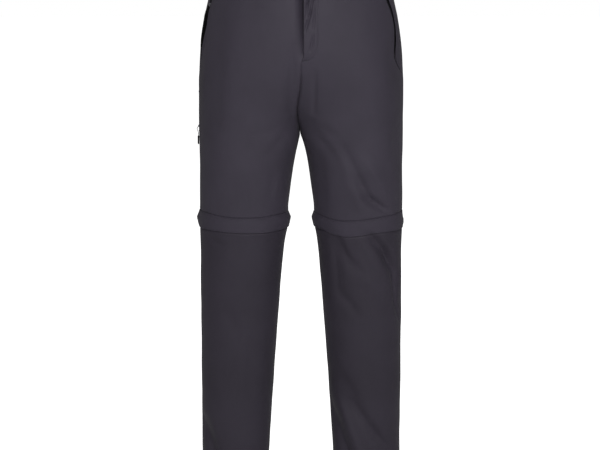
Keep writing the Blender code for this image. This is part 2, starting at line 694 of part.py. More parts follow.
upper_cloth = principled("charcoal_cloth_upper", (0.052, 0.048, 0.056), 0.72)
lower_cloth = principled("charcoal_cloth_lower", (0.036, 0.033, 0.039), 0.74)
flap_cloth = principled("charcoal_cloth_flap", (0.045, 0.042, 0.049), 0.72)
black_tape = principled("black_zip_tape", (0.008, 0.008, 0.010), 0.6)
slider_metal = principled("grey_slider_metal", (0.18, 0.18, 0.19), 0.4, 0.8)
pull_plastic = principled("dark_pull_plastic", (0.022, 0.022, 0.026), 0.45)
button_plastic = principled("dark_button_plastic", (0.030, 0.029, 0.033), 0.4)

make_panels(upper_cloth, lower_cloth)
make_waistband(upper_cloth)
make_button(button_plastic)
make_fly_zip(black_tape, slider_metal)
for leg in (LEFT, RIGHT):
    make_hand_zip(leg, black_tape, slider_metal, pull_plastic)
    make_knee_flap(leg, flap_cloth)
    make_knee_zip(leg, black_tape, slider_metal)
make_thigh_zip(black_tape, slider_metal, pull_plastic)
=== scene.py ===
"""The looks of a pair of convertible zip-off trousers, hollow and filled out as when worn.

Metres, +Z up. The origin is the middle of the waist opening. The front faces -Y, and the wearer's
left leg is on the +X side. A place on the cloth is its leg, u and z: u is the distance round the
leg from the side seam, minus over the front and plus over the back.
"""
from collections import namedtuple
from functools import lru_cache
from math import cos, pi, radians, sin

import bmesh
import bpy
import numpy as np
from mathutils import Matrix, Vector, noise


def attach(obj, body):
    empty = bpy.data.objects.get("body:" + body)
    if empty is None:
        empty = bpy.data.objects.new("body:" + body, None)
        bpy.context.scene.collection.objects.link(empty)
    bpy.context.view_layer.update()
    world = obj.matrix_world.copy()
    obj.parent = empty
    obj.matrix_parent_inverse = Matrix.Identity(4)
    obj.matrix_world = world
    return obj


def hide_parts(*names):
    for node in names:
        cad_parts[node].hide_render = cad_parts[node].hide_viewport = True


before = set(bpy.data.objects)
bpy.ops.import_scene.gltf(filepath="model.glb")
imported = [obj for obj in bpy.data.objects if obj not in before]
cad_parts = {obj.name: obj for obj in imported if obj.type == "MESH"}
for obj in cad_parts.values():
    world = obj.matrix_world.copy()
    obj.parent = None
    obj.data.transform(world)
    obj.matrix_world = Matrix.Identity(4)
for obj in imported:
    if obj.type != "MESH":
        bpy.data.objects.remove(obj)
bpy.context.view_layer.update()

# Upper front panels
# One for each leg, cut in a fine woven stretch nylon from the waist seam to the knee zip. They
# are sewn together at the rise below the fly, and cut away at the side for the hand pockets.

MM = 0.001
LEFT, RIGHT = 1, -1
FRONT, BACK = -1, 1
CLOTH = 0.9 * MM
GAP = 0.06 * MM
TURNED_EDGE = 0.7 * MM
FINE = np.array([0, 0.12, 0.35, 0.7, 1.5, 3.0]) * MM
ROW_STEP = 3.6 * MM
COLUMNS, WIDE_COLUMNS = 82, 68
WAIST_SEAM = -40.05 * MM
UPPER_END = -525 * MM
KNEE_ZIP = -527 * MM
NEAR_KNEE = -480 * MM

Level = namedtuple("Level", "z outer inner split front back square")
LEVELS = [
    Level(0, 164.0, 0.03, 0.0, 120, 122, 2.2),
    Level(-40, 172.0, 0.03, 0.0, 123, 127, 2.2),
    Level(-90, 182.8, 0.03, 0.0, 126, 133, 2.2),
    Level(-130, 191.2, 0.03, 0.02, 128, 138, 2.2),
    Level(-170, 197.0, 0.03, 0.08, 128, 142, 2.2),
    Level(-210, 200.4, 0.03, 0.24, 125, 142, 2.2),
    Level(-250, 202.0, 0.03, 0.5, 118, 134, 2.3),
    Level(-270, 202.0, 0.03, 0.66, 113.5, 128, 2.4),
    Level(-290, 202.0, 0.03, 0.79, 109, 121, 2.5),
    Level(-310, 202.0, 0.03, 0.89, 105, 114, 2.5),
    Level(-330, 202.0, 0.03, 0.96, 101.5, 109, 2.5),
    Level(-345, 202.0, 0.03, 0.992, 99, 106, 2.4),
    Level(-353, 202.0, 0.5, 1.0, 98, 105, 2.35),
    Level(-365, 201.9, 3.8, 1.0, 96.4, 103, 2.3),
    Level(-385, 201.8, 8.7, 1.0, 94, 100, 2.2),
    Level(-405, 201.6, 12.6, 1.0, 92, 97, 2.1),
    Level(-445, 201.4, 18.9, 1.0, 87, 90, 2.0),
    Level(-485, 201.5, 24.4, 1.0, 82, 84, 2.0),
    Level(-527, 201.5, 28.4, 1.0, 77, 78, 2.0),
    Level(-586, 201.1, 34.8, 1.0, 73, 75, 2.0),
    Level(-648, 201.1, 40.2, 1.0, 70, 73, 2.0),
    Level(-730, 201.0, 46.7, 1.0, 66, 70, 2.0),
    Level(-812, 200.8, 52.9, 1.0, 63, 66, 2.0),
    Level(-894, 200.6, 58.3, 1.0, 60, 62, 2.0),
    Level(-1000, 200.2, 65.0, 1.0, 58, 59, 2.0),
    Level(-1100, 199.5, 70.5, 1.0, 57, 58, 2.0),
]
OUTER_SQUARE = 2.12
OUTLINE_STEPS = 601
RISE_SWAY, SWAY_LEVEL, SWAY_REACH = 7.5 * MM, -305 * MM, 40 * MM
SEAM_FLAT, THIGHS_TOUCH = 10 * MM, 0.03 * MM
THIGHS_PART, THIGHS_EASE = -362 * MM, 14 * MM


def ease(t):
    """From 0 to 1 with a soft start and end."""
    t = np.clip(t, 0, 1)
    return t * t * (3 - 2 * t)


def fair_curve(heights, values):
    """A smooth curve through values that never swings past them."""
    z, value = np.array(heights[::-1]) * MM, np.array(values[::-1], float)
    step = np.diff(z)
    slope = np.diff(value) / step
    product = slope[:-1] * slope[1:]
    total = slope[:-1] + slope[1:]
    inside = np.where(product > 0, 2 * product / np.where(total == 0, 1, total), 0)
    tangent = np.concatenate([[slope[0]], inside, [slope[-1]]])

    def at(height):
        i = int(np.clip(np.searchsorted(z, height) - 1, 0, len(step) - 1))
        t = float(np.clip((height - z[i]) / step[i], 0, 1))
        ends = value[i] * (1 + 2 * t) * (1 - t) ** 2 + value[i + 1] * t * t * (3 - 2 * t)
        lean = tangent[i] * t * (1 - t) ** 2 + tangent[i + 1] * t * t * (t - 1)
        return float(ends + lean * step[i])

    return at


form = {
    column: fair_curve([row.z for row in LEVELS], [getattr(row, column) for row in LEVELS])
    for column in Level._fields[1:]
}


@lru_cache(maxsize=None)
def outline(face, z):
    """The leg's outline at a height from its inner edge to the side seam, and the way along it."""
    outer, inner, square = form["outer"](z) * MM, form["inner"](z) * MM, form["square"](z)
    split = float(np.clip(form["split"](z), 0, 1))
    half = outer / (1 + split)
    turn = np.linspace(np.arccos(-(split ** (square / 2))), 0, OUTLINE_STEPS)
    across, deep = np.cos(turn), np.abs(np.sin(turn))
    power = np.where(across < 0, 2 / square, 2 / OUTER_SQUARE)
    x = outer - half + half * np.sign(across) * np.abs(across) ** power
    x = inner + x * (outer - inner) / outer
    y = face * form["front" if face == FRONT else "back"](z) * MM * deep**power
    along = np.concatenate([[0], np.cumsum(np.hypot(np.diff(x), np.diff(y)))])
    return x, y, along


def round_leg(face, z):
    """The distance round the front or the back, from the inner edge to the side seam."""
    return outline(face, z)[2][-1]


def smooth_body(leg, share, z):
    """Points of the form under the cloth, share -1 at the front's inner edge and 1 at the back's."""
    share = np.asarray(share, float)
    other = share < -1
    inside = np.where(other, -2 - share, share)
    points = np.empty((len(inside), 3))
    for face in (FRONT, BACK):
        x, y, along = outline(face, z)
        here = inside <= 0 if face == FRONT else inside > 0
        way = along[-1] * (1 - np.abs(inside[here]))
        points[here, 0] = np.interp(way, along, x)
        points[here, 1] = np.interp(way, along, y)
    points[:, 0] *= np.where(other, -leg, leg)
    points[:, 2] = z
    reach = np.clip(1 - np.abs(points[:, 0]) / (form["outer"](z) * MM), 0, 1)
    points[:, 0] -= RISE_SWAY * np.exp(-(((z - SWAY_LEVEL) / SWAY_REACH) ** 2)) * reach**2
    return points


def outward(leg, share, z):
    """Unit directions straight out of the form."""
    share = np.asarray(share, float)
    step = 0.004
    low = np.where(share < -1, share - step, np.maximum(share - step, -1))
    high = np.minimum(share + step, 1)
    round_way = smooth_body(leg, high, z) - smooth_body(leg, low, z)
    up_way = smooth_body(leg, share, min(z + MM, 0.0)) - smooth_body(leg, share, max(z - MM, -1.1))
    normal = np.cross(round_way, up_way) * leg
    return normal / np.linalg.norm(normal, axis=1)[:, None]


# The folds, in millimetres as seen from the front or the back: leg, face, the two ends of the
# bottom line, the width on the left and on the right of that way, and the depth, minus for a ridge.
Fold = namedtuple("Fold", "leg face x0 z0 x1 z1 left right depth")
FOLDS = [
    Fold(LEFT, FRONT, 80, -368, 117, -444, 9, 12, 4.2),
    Fold(LEFT, FRONT, 112, -434, 138, -480, 8, 11, 5.6),
    Fold(LEFT, FRONT, 132, -472, 170, -499, 7, 11, 8.6),
    Fold(LEFT, FRONT, 126, -400, 172, -468, 13, 11, -4.0),
    Fold(LEFT, FRONT, 96, -446, 124, -500, 10, 12, -2.6),
    Fold(LEFT, FRONT, 186, -340, 190, -414, 14, 10, 3.6),
    Fold(LEFT, FRONT, 176, -214, 188, -262, 14, 12, 2.6),
    Fold(LEFT, FRONT, 74, -376, 90, -424, 6, 8, -1.3),
    Fold(LEFT, FRONT, 12, -328, 62, -388, 9, 12, 2.8),
    Fold(LEFT, FRONT, 8, -318, 70, -350, 8, 10, 1.6),
    Fold(LEFT, FRONT, 26, -224, 25, -304, 5, 6, 2.4),
    Fold(LEFT, FRONT, 36, -392, 44, -500, 10, 10, 2.0),
    Fold(LEFT, FRONT, 27, -54, 10, -100, 2.4, 3.0, 5.4),
    Fold(LEFT, FRONT, 24, -68, 18, -116, 2.2, 2.8, 4.4),
    Fold(LEFT, FRONT, 19, -108, 8, -146, 2.2, 2.8, 4.6),
    Fold(LEFT, FRONT, 14, -88, 9, -124, 2.0, 2.6, 3.2),
    Fold(LEFT, FRONT, 27, -92, 24, -142, 2.4, 3.0, 2.4),
    Fold(LEFT, FRONT, 24, -156, 17, -184, 2.4, 3.0, 2.4),
    Fold(LEFT, FRONT, 176, -150, 190, -236, 10, 12, 1.6),
    Fold(LEFT, FRONT, 68, -548, 92, -596, 8, 14, 4.4),
    Fold(LEFT, FRONT, 90, -590, 124, -626, 9, 14, 3.4),
    Fold(LEFT, FRONT, 132, -540, 172, -588, 9, 14, 10.0),
    Fold(LEFT, FRONT, 168, -580, 188, -622, 7, 13, 13.0),
    Fold(LEFT, FRONT, 186, -618, 188, -652, 5, 10, 5.6),
    Fold(LEFT, FRONT, 185, -640, 186, -690, 2.4, 4, 3.6),
    Fold(LEFT, FRONT, 186, -684, 197, -726, 2.4, 4, 3.4),
    Fold(LEFT, FRONT, 64, -560, 76, -668, 12, 8, 3.2),
    Fold(LEFT, FRONT, 76, -660, 112, -704, 9, 12, 2.8),
    Fold(LEFT, FRONT, 106, -604, 150, -664, 12, 14, -2.2),
    Fold(LEFT, FRONT, 70, -820, 112, -882, 12, 18, 3.6),
    Fold(LEFT, FRONT, 56, -892, 86, -974, 10, 10, 6.4),
    Fold(LEFT, FRONT, 84, -970, 106, -1030, 10, 12, 6.4),
    Fold(LEFT, FRONT, 76, -880, 104, -960, 8, 9, -3.4),
    Fold(LEFT, FRONT, 102, -950, 124, -1012, 9, 10, -3.4),
    Fold(LEFT, FRONT, 100, -884, 150, -952, 10, 15, 6.4),
    Fold(LEFT, FRONT, 144, -942, 176, -984, 9, 14, 5.6),
    Fold(LEFT, FRONT, 92, -1040, 164, -1072, 12, 14, 2.6),
    Fold(RIGHT, FRONT, -15, -176, -20, -300, 8, 9, 3.0),
    Fold(RIGHT, FRONT, -54, -424, -60, -478, 8, 10, 1.8),
    Fold(RIGHT, FRONT, -160, -126, -168, -330, 16, 16, 3.2),
    Fold(RIGHT, FRONT, -186, -206, -191, -284, 5, 6, -1.8),
    Fold(RIGHT, FRONT, -14, -328, -62, -386, 12, 9, 2.4),
    Fold(RIGHT, FRONT, -10, -316, -74, -346, 10, 8, 1.3),
    Fold(RIGHT, FRONT, -184, -548, -160, -566, 8, 8, 3.4),
    Fold(RIGHT, FRONT, -152, -692, -130, -738, 14, 14, 1.8),
    Fold(RIGHT, FRONT, -96, -760, -104, -880, 14, 12, 1.6),
    Fold(RIGHT, FRONT, -198, -926, -172, -1006, 12, 9, 8.0),
    Fold(RIGHT, FRONT, -104, -1000, -158, -1058, 14, 12, 3.0),
    Fold(LEFT, BACK, 40, -312, 150, -280, 22, 22, 3.5),
    Fold(RIGHT, BACK, -44, -322, -158, -296, 20, 20, 3.2),
    Fold(LEFT, BACK, 30, -352, 120, -338, 12, 15, 2.6),
    Fold(RIGHT, BACK, -26, -360, -104, -352, 12, 14, 2.4),
    Fold(LEFT, BACK, 62, -470, 150, -498, 10, 15, 4.5),
    Fold(RIGHT, BACK, -70, -480, -160, -462, 10, 14, 4.0),
    Fold(LEFT, BACK, 84, -440, 140, -452, 9, 12, 2.4),
    Fold(RIGHT, BACK, -84, -444, -130, -436, 9, 12, 2.2),
    Fold(LEFT, BACK, 78, -590, 168, -564, 10, 13, 4.0),
    Fold(RIGHT, BACK, -80, -572, -150, -616, 10, 13, 4.5),
    Fold(LEFT, BACK, 70, -640, 142, -622, 10, 13, 2.6),
    Fold(RIGHT, BACK, -70, -640, -134, -660, 10, 13, 2.8),
    Fold(LEFT, BACK, 90, -760, 150, -800, 14, 18, 2.0),
    Fold(RIGHT, BACK, -98, -790, -150, -756, 14, 18, 2.0),
    Fold(LEFT, BACK, 96, -1010, 168, -962, 10, 15, 4.5),
    Fold(RIGHT, BACK, -100, -960, -172, -1020, 10, 15, 4.5),
    Fold(LEFT, BACK, 88, -1060, 160, -1038, 9, 12, 2.8),
    Fold(RIGHT, BACK, -92, -1034, -150, -1062, 9, 12, 2.8),
]
SIDE_FADE, KNEE_CALM = 0.3, 20 * MM
UNEVEN = [((16, 16, 16), 0.9 * MM), ((60, 60, 34), 0.25 * MM)]

# The cloth blouses out at the knee, to a soft point at the outer side and all down the inner side.
Blouse = namedtuple("Blouse", "outer inner below")
BLOUSE = {LEFT: Blouse(0.8, 5.8, 20), RIGHT: Blouse(4.8, 6.6, 28)}
BLOUSE_Z = -518 * MM
BLOUSE_UP, BLOUSE_DOWN, BLOUSE_ROUND, BLOUSE_FROM = 10 * MM, 7 * MM, 0.07, 0.72


def blouse(leg, share, z):
    """How far the cloth stands out at the knee, at each share of the way round the leg."""
    drop = z - BLOUSE_Z
    point = np.exp(-((abs(drop) / (BLOUSE_UP if drop > 0 else BLOUSE_DOWN)) ** 1.4))
    softer = np.exp(-((abs(drop) / (BLOUSE_UP if drop > 0 else BLOUSE[leg].below * MM)) ** 1.5))
    outer = BLOUSE[leg].outer * MM * point * np.exp(-((share / BLOUSE_ROUND) ** 2))
    return outer + BLOUSE[leg].inner * MM * softer * ease((np.abs(share) - BLOUSE_FROM) / (1 - BLOUSE_FROM))


def folds_at(leg, share, points, z):
    """How far the folds and the cloth's own unevenness move each point out."""
    push = np.zeros(len(points))
    for face in (FRONT, BACK):
        here = share <= 0 if face == FRONT else share > 0
        deepest = form["front" if face == FRONT else "back"](z) * MM
        fade = ease(np.abs(points[:, 1]) / (SIDE_FADE * deepest))
        for fold in FOLDS:
            if fold.leg != leg or fold.face != face:
                continue
            start = np.array([fold.x0, fold.z0]) * MM
            way = np.array([fold.x1, fold.z1]) * MM - start
            seen = np.column_stack([points[:, 0], np.full(len(points), z)]) - start
            t = np.clip(seen @ way / (way @ way), 0, 1)
            away = seen - t[:, None] * way
            far = np.hypot(away[:, 0], away[:, 1]) + 1e-9
            on_left = (way[0] * away[:, 1] - way[1] * away[:, 0]) / (far * np.hypot(*way))
            width = (fold.right + (fold.left - fold.right) * ease((on_left + 1) / 2)) * MM
            swell = np.sin(pi * (0.15 + 0.7 * t))
            shape = fold.depth * MM * np.exp(-((far / width) ** 2)) * swell
            push -= np.where(here, shape * fade, 0)
    push *= 1 - np.exp(-(((z - KNEE_ZIP) / KNEE_CALM) ** 2))
    for wave, high in UNEVEN:
        push += high * np.array([noise.noise(Vector(p)) for p in points * wave])
    return push + blouse(leg, share, z)


def share_at(u, z):
    """The share of the way round the front or the back at each distance from the side seam."""
    u = np.asarray(u, float)
    return np.where(u <= 0, u / round_leg(FRONT, z), u / round_leg(BACK, z))


def cloth(leg, u, z, off=0.0):
    """Points on the cloth at distances u round the leg, moved out by off."""
    u = np.asarray(u, float)
    share = share_at(u, z)
    points = smooth_body(leg, share, z)
    push = np.broadcast_to(off, u.shape) + folds_at(leg, share, points, z)
    move = outward(leg, share, z) * push[:, None]
    middle = -RISE_SWAY * np.exp(-(((z - SWAY_LEVEL) / SWAY_REACH) ** 2))
    near = 1 - ease(np.abs(points[:, 0] - middle) / SEAM_FLAT)
    move[:, 0] *= 1 - near * ease((z - THIGHS_PART) / THIGHS_EASE)
    moved = points + move
    own_side = np.maximum((moved[:, 0] - middle) * leg, THIGHS_TOUCH) * leg + middle
    moved[:, 0] = np.where(share < -1, moved[:, 0], own_side)
    return moved


# The hand pockets' mouths: height, distance of the front panel's edge ahead of the side seam and
# the mouth's width. The left one is closed by its zip and the right one gapes.
MOUTH = {
    LEFT: [
        (-40, 68, 10.5), (-66, 65, 11), (-90, 62, 11), (-104, 57, 10.5), (-120, 53.5, 9.5),
        (-140, 52, 8.5), (-165, 56.5, 8.5), (-190, 61.5, 6.5), (-202, 57, 1.8), (-222, 40, 1.8),
        (-240, 3, 0.3), (-242, 0.15, 0.3),
    ],
    RIGHT: [
        (-40, 46, 10), (-90, 43, 10), (-104, 41.5, 10), (-120, 45, 20), (-140, 47, 22),
        (-165, 41.5, 16), (-190, 32, 5), (-202, 27, 0.3), (-222, 18, 0.3), (-240, 3, 0.3),
        (-242, 0.15, 0.3),
    ],
}
mouth_edge, mouth_width = (
    {leg: fair_curve([row[0] for row in MOUTH[leg]], [row[i] for row in MOUTH[leg]]) for leg in MOUTH}
    for i in (1, 2)
)
THIGH_ZIP_TOP, THIGH_ZIP_END, THIGH_MOUTH = -270 * MM, -345 * MM, 7 * MM
FLY_EDGE, FLY_UNDERLAP, FLY_BOTTOM = 5 * MM, 14 * MM, -208 * MM
FLY_START, FLY_STEP, FLY_CLOSE = 4 * MM, 1.1 * MM, 42 * MM
SLIT_SOFT = 5 * MM


def side_slit(leg, z):
    """Half the opening in the side seam, where the thigh pocket's zip lies."""
    if leg == LEFT:
        return GAP / 2
    inside = min(THIGH_ZIP_TOP - z, z - THIGH_ZIP_END) + MM
    return GAP / 2 + (THIGH_MOUTH - GAP) / 2 * float(ease(inside / SLIT_SOFT))


def across(start, end, count=COLUMNS):
    """Places from one edge to the other, close together at both edges."""
    middle = np.linspace(start + FINE[-1], end - FINE[-1], count)
    return np.concatenate([start + FINE[:-1], middle, end - FINE[-2::-1]])


def front_columns(leg, z):
    """Places across a front panel, close together where it forms the fly."""
    middle = -round_leg(FRONT, z)
    lap = float(ease((z - FLY_BOTTOM) / FLY_UNDERLAP))
    start = middle + GAP / 2 + lap * (FLY_EDGE if leg == LEFT else -FLY_UNDERLAP)
    columns = across(start, -max(mouth_edge[leg](z) * MM, side_slit(leg, z)))
    near_fly = np.arange(columns[0] + FLY_START, columns[0] + FLY_CLOSE, FLY_STEP)
    wide = np.linspace(near_fly[-1], columns[-len(FINE)], WIDE_COLUMNS)[1:-1]
    return np.concatenate([columns[: len(FINE)], near_fly, wide, columns[-len(FINE) :]])


# The left front stands over the fly, and the right one dips in a hollow beside it and comes up
# again behind the lap. Both dip along the fly's stitching, the rise seam and the pocket's lap.
FLY_LIFT, LIFT_FADE, BAND_FADE = 2.0 * MM, 34 * MM, 12 * MM
FLY_STITCH, FLY_TURN, FLY_TACK, FLY_LOCK = 31.5 * MM, -165 * MM, -203.4 * MM, 1.2 * MM
STITCH_TOP, STITCH_DENT, DENT_HALF = -43 * MM, 0.9 * MM, 1.5 * MM
FLY_LEDGE, LEDGE_FADE, FLY_SOFT = 2.4 * MM, 15 * MM, 24 * MM
FLY_TROUGH, TROUGH_AT, TROUGH_TOP, TROUGH_END = 17 * MM, -4 * MM, 14.5 * MM, 3 * MM
TROUGH_HIGH, TROUGH_FADE = -60 * MM, 30 * MM
UNDERLAP_RISE, UNDERLAP_LONG = 0.85, 9 * MM
RISE_GROOVE, RISE_SOFT, RISE_TOP, RISE_END = 2.8 * MM, 2.4 * MM, -205 * MM, -372 * MM
RISE_TOP_FADE, RISE_END_FADE = 70 * MM, 30 * MM
GAPE, GAPE_TOP, GAPE_END, GAPE_SOFT, GAPE_WIDE = 1.8 * MM, -98 * MM, -200 * MM, 20 * MM, 6 * MM
LAP_DROP, LAP_SOFT, LAP_TOP, LAP_END, LAP_FADE = 2.6 * MM, 2.8 * MM, -192 * MM, -242 * MM, 10 * MM


def fly_curve(inset):
    """The stitching that holds the fly: straight down, then round to a lock at the rise seam."""
    places = [(FLY_STITCH - inset, z) for z in np.linspace(STITCH_TOP, FLY_TURN, 14)]
    for turn in np.linspace(0, pi / 2, 16)[1:]:
        reach = (FLY_STITCH - inset - FLY_LOCK) * max(cos(turn), 0) ** 0.6
        places.append((FLY_LOCK + reach, FLY_TURN + (FLY_TACK + inset - FLY_TURN) * sin(turn)))
    return np.array(places)


FLY_LINE = fly_curve(0)


def from_chain(chain, x, z):
    """The distance of places from a chain of straight lines."""
    least = np.full(np.shape(x), 1.0)
    for start, end in zip(chain[:-1], chain[1:]):
        way = end - start
        t = np.clip(((x - start[0]) * way[0] + (z - start[1]) * way[1]) / (way @ way), 0, 1)
        least = np.minimum(least, np.hypot(x - start[0] - t * way[0], z - start[1] - t * way[1]))
    return least


# The knee flap sags over the front: the heights of its top and its free edge, in millimetres, at
# shares of the way from the side seam (0) to the inner edge (1). The back runs straight.
Sag = namedtuple("Sag", "share top end")
FLAP_SAG = {
    LEFT: [
        Sag(0, -504, -538), Sag(0.13, -506, -540), Sag(0.3, -511.5, -541), Sag(0.4, -514.5, -543.5),
        Sag(0.51, -517.8, -547.5), Sag(0.62, -519.3, -549.3), Sag(0.71, -517.8, -547.5),
        Sag(0.82, -512.5, -539), Sag(1, -507, -536),
    ],
    RIGHT: [
        Sag(0, -503.5, -537.5), Sag(0.19, -505.5, -538), Sag(0.32, -509.8, -539.3),
        Sag(0.44, -512.8, -541.2), Sag(0.55, -513.3, -542.3), Sag(0.66, -512.6, -542.5),
        Sag(0.74, -510.5, -541.5), Sag(0.9, -508, -538.5), Sag(1, -507.5, -537),
    ],
}
flap_front = {
    (leg, edge): fair_curve([-1000 * row.share for row in rows], [getattr(row, edge) for row in rows])
    for leg, rows in FLAP_SAG.items()
    for edge in ("top", "end")
}


def flap_edge(leg, share, edge):
    """The height of the flap's top or its free edge at each share round the leg."""
    share = np.atleast_1d(share)
    first, last = (getattr(FLAP_SAG[leg][i], edge) for i in (0, -1))
    front = np.array([flap_front[leg, edge](s) for s in np.minimum(share, 0)])
    return np.where(share <= 0, front, first + (last - first) * share) * MM


KNEE_GROOVE, KNEE_RECESS = 1.3 * MM, 0.8 * MM


def knee_dip(leg, u, z):
    """The panel turns in at the seam along the flap's top and runs on under the flap."""
    share = share_at(u, z)
    above = z - flap_edge(leg, share, "top")
    groove = KNEE_GROOVE * np.exp(-(((above - 0.9 * MM) / (1.5 * MM)) ** 2))
    return groove + KNEE_RECESS * ease((1.6 * MM - above) / (2.4 * MM))


def between(z, top, end, top_soft, end_soft):
    """1 from one height down to another, with a soft start and a soft end."""
    return float(ease((top - z) / top_soft) * ease((z - end) / end_soft))


def left_fly(from_middle, z):
    """The dip along the fly's stitching, and how far the left front stands out over the fly."""
    dent = 0.0
    if z > FLY_TACK - 4 * DENT_HALF:
        dent = -STITCH_DENT * np.exp(-((from_chain(FLY_LINE, from_middle, z) / DENT_HALF) ** 2))
    below_band = float(np.clip((WAIST_SEAM - z) / BAND_FADE, 0, 1))
    return dent, FLY_LIFT * below_band * (1 - ease((from_middle - FLY_EDGE) / LIFT_FADE))


def right_fly(from_middle, z):
    """The right front dips beside the lap, and rises behind it to lie just under the left one."""
    ledge = FLY_LEDGE * ease((FLY_UNDERLAP - from_middle) / LEDGE_FADE)
    share = float(np.clip((z - FLY_BOTTOM) / (TROUGH_HIGH - FLY_BOTTOM), 0, 1))
    width = TROUGH_END + (TROUGH_TOP - TROUGH_END) * share
    deep = FLY_TROUGH * share**0.8 * float(ease((WAIST_SEAM - z) / TROUGH_FADE))
    hollow = deep * np.exp(-np.maximum(from_middle - TROUGH_AT, 0) / width)
    behind = 1 - UNDERLAP_RISE * ease((TROUGH_AT - from_middle) / UNDERLAP_LONG)
    return ledge + hollow * behind


def front_lift(leg, u, z):
    """How far a front panel stands out of the form: the knee seam, the pocket, the rise and the fly."""
    from_middle = u + round_leg(FRONT, z)
    from_mouth = -u - mouth_edge[leg](z) * MM
    fly = float(ease((z - FLY_BOTTOM + 2 * MM) / FLY_SOFT))
    lift = -knee_dip(leg, u, z) if z < NEAR_KNEE else 0.0
    below_mouth = between(z, LAP_TOP, LAP_END, LAP_FADE, LAP_FADE)
    lift = lift - LAP_DROP * below_mouth * np.exp(-((from_mouth / LAP_SOFT) ** 2))
    groove = RISE_GROOVE * between(z, RISE_TOP, RISE_END, RISE_TOP_FADE, RISE_END_FADE)
    lift = lift - groove * np.exp(-((from_middle / RISE_SOFT) ** 2))
    if leg == LEFT:
        dent, stand = left_fly(from_middle, z)
        return lift + dent + stand * fly
    gape = GAPE * between(z, GAPE_TOP, GAPE_END, GAPE_SOFT, GAPE_SOFT)
    return lift + gape * np.exp(-((from_mouth / GAPE_WIDE) ** 2)) - right_fly(from_middle, z) * fly


def turned(distance):
    """How far a turned edge rounds inward at a distance from it."""
    inside = np.clip(TURNED_EDGE - distance, 0, TURNED_EDGE)
    return TURNED_EDGE - np.sqrt(TURNED_EDGE**2 - inside**2)


def piece_of(name, mesh, material, sharp=None):
    """A smooth object in one material, with its edges sharp from an angle in degrees."""
    mesh.materials.clear()
    mesh.materials.append(material)
    mesh.shade_smooth()
    if sharp:
        mesh.set_sharp_from_angle(angle=radians(sharp))
    piece = bpy.data.objects.new(name, mesh)
    bpy.context.scene.collection.objects.link(piece)
    return piece


def stands_for(piece, node, body="trousers"):
    """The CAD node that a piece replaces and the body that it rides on."""
    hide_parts(node)
    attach(piece, body)


def shell(name, outer, inner, places, material, closed=False, flip=False):
    """A thin closed shell between two grids of points, with its UVs in metres of cloth."""
    rows, columns = len(outer), len(outer[0])
    points = np.concatenate([np.reshape(outer, (-1, 3)), np.reshape(inner, (-1, 3))])
    turns = columns if closed else columns - 1
    r, c = np.meshgrid(np.arange(rows - 1), np.arange(turns), indexing="ij")
    d = (c + 1) % columns
    low, high = r * columns, (r + 1) * columns
    quad = np.stack([low + c, high + c, high + d, low + d], -1).reshape(-1, 4)
    back = rows * columns
    faces = [quad, quad[:, ::-1] + back]
    c = np.arange(turns)
    d = (c + 1) % columns
    for first, turn in ((0, 1), (back - columns, -1)):
        rim = np.stack([first + c, first + d, back + first + d, back + first + c], -1)
        faces.append(rim[:, ::turn])
    if not closed:
        r = np.arange(rows - 1)
        for column, turn in ((0, -1), (columns - 1, 1)):
            low, high = r * columns + column, (r + 1) * columns + column
            faces.append(np.stack([low, high, back + high, back + low][::turn], -1))
    faces = np.concatenate(faces)
    mesh = bpy.data.meshes.new(name)
    mesh.from_pydata(points.tolist(), [], (faces[:, ::-1] if flip else faces).tolist())
    flat = np.tile(np.reshape(places, (-1, 2)), (2, 1))
    corner = np.empty(len(mesh.loops), int)
    mesh.loops.foreach_get("vertex_index", corner)
    mesh.uv_layers.new(name="cloth").data.foreach_set("uv", flat[corner].ravel())
    return piece_of(name, mesh, material, 60)


def cut_panel(name, leg, heights, columns, material, lift=None, thick=CLOTH):
    """One panel of cloth, with its edges turned in, and the size of its cut."""
    outer, inner, places, widths = [], [], [], []
    for z in heights:
        u = columns(leg, z)
        off = np.zeros(len(u)) + (lift(leg, u, z) if lift else 0)
        edge = turned(np.minimum(u - u[0], u[-1] - u)) + turned(min(heights[0] - z, z - heights[-1]))
        outer.append(cloth(leg, u, z, off - edge))
        inner.append(cloth(leg, u, z, off - thick))
        places.append(np.column_stack([u, np.full(len(u), z)]))
        widths.append(u[-1] - u[0])
    piece = shell(name, outer, inner, places, material, flip=leg == RIGHT)
    tall = heights[0] - heights[-1]
    area = float(np.sum((np.array(widths[1:]) + widths[:-1]) / 2 * -np.diff(heights)))
    return piece, (float(max(widths)), float(tall)), area


def rows_between(top, bottom, step=ROW_STEP):
    """Heights from a panel's top edge to its bottom edge, close together at both."""
    count = int(round((top - bottom - 2 * FINE[-1]) / step)) + 1
    return across(-top, -bottom, count) * -1


def closer(heights, high, low, step):
    """The same heights with close rows between two of them."""
    apart = heights[(heights > high) | (heights < low)]
    return np.sort(np.concatenate([apart, np.arange(low, high, step)]))[::-1]


def add_node(tree, kind, inputs, **settings):
    """A new shader node. An input is a value or another node's output."""
    node = tree.nodes.new("ShaderNode" + kind)
    for setting, value in settings.items():
        setattr(node, setting, value)
    for name, value in inputs.items():
        if isinstance(value, bpy.types.NodeSocket):
            tree.links.new(value, node.inputs[name])
        else:
            node.inputs[name].default_value = value
    return node


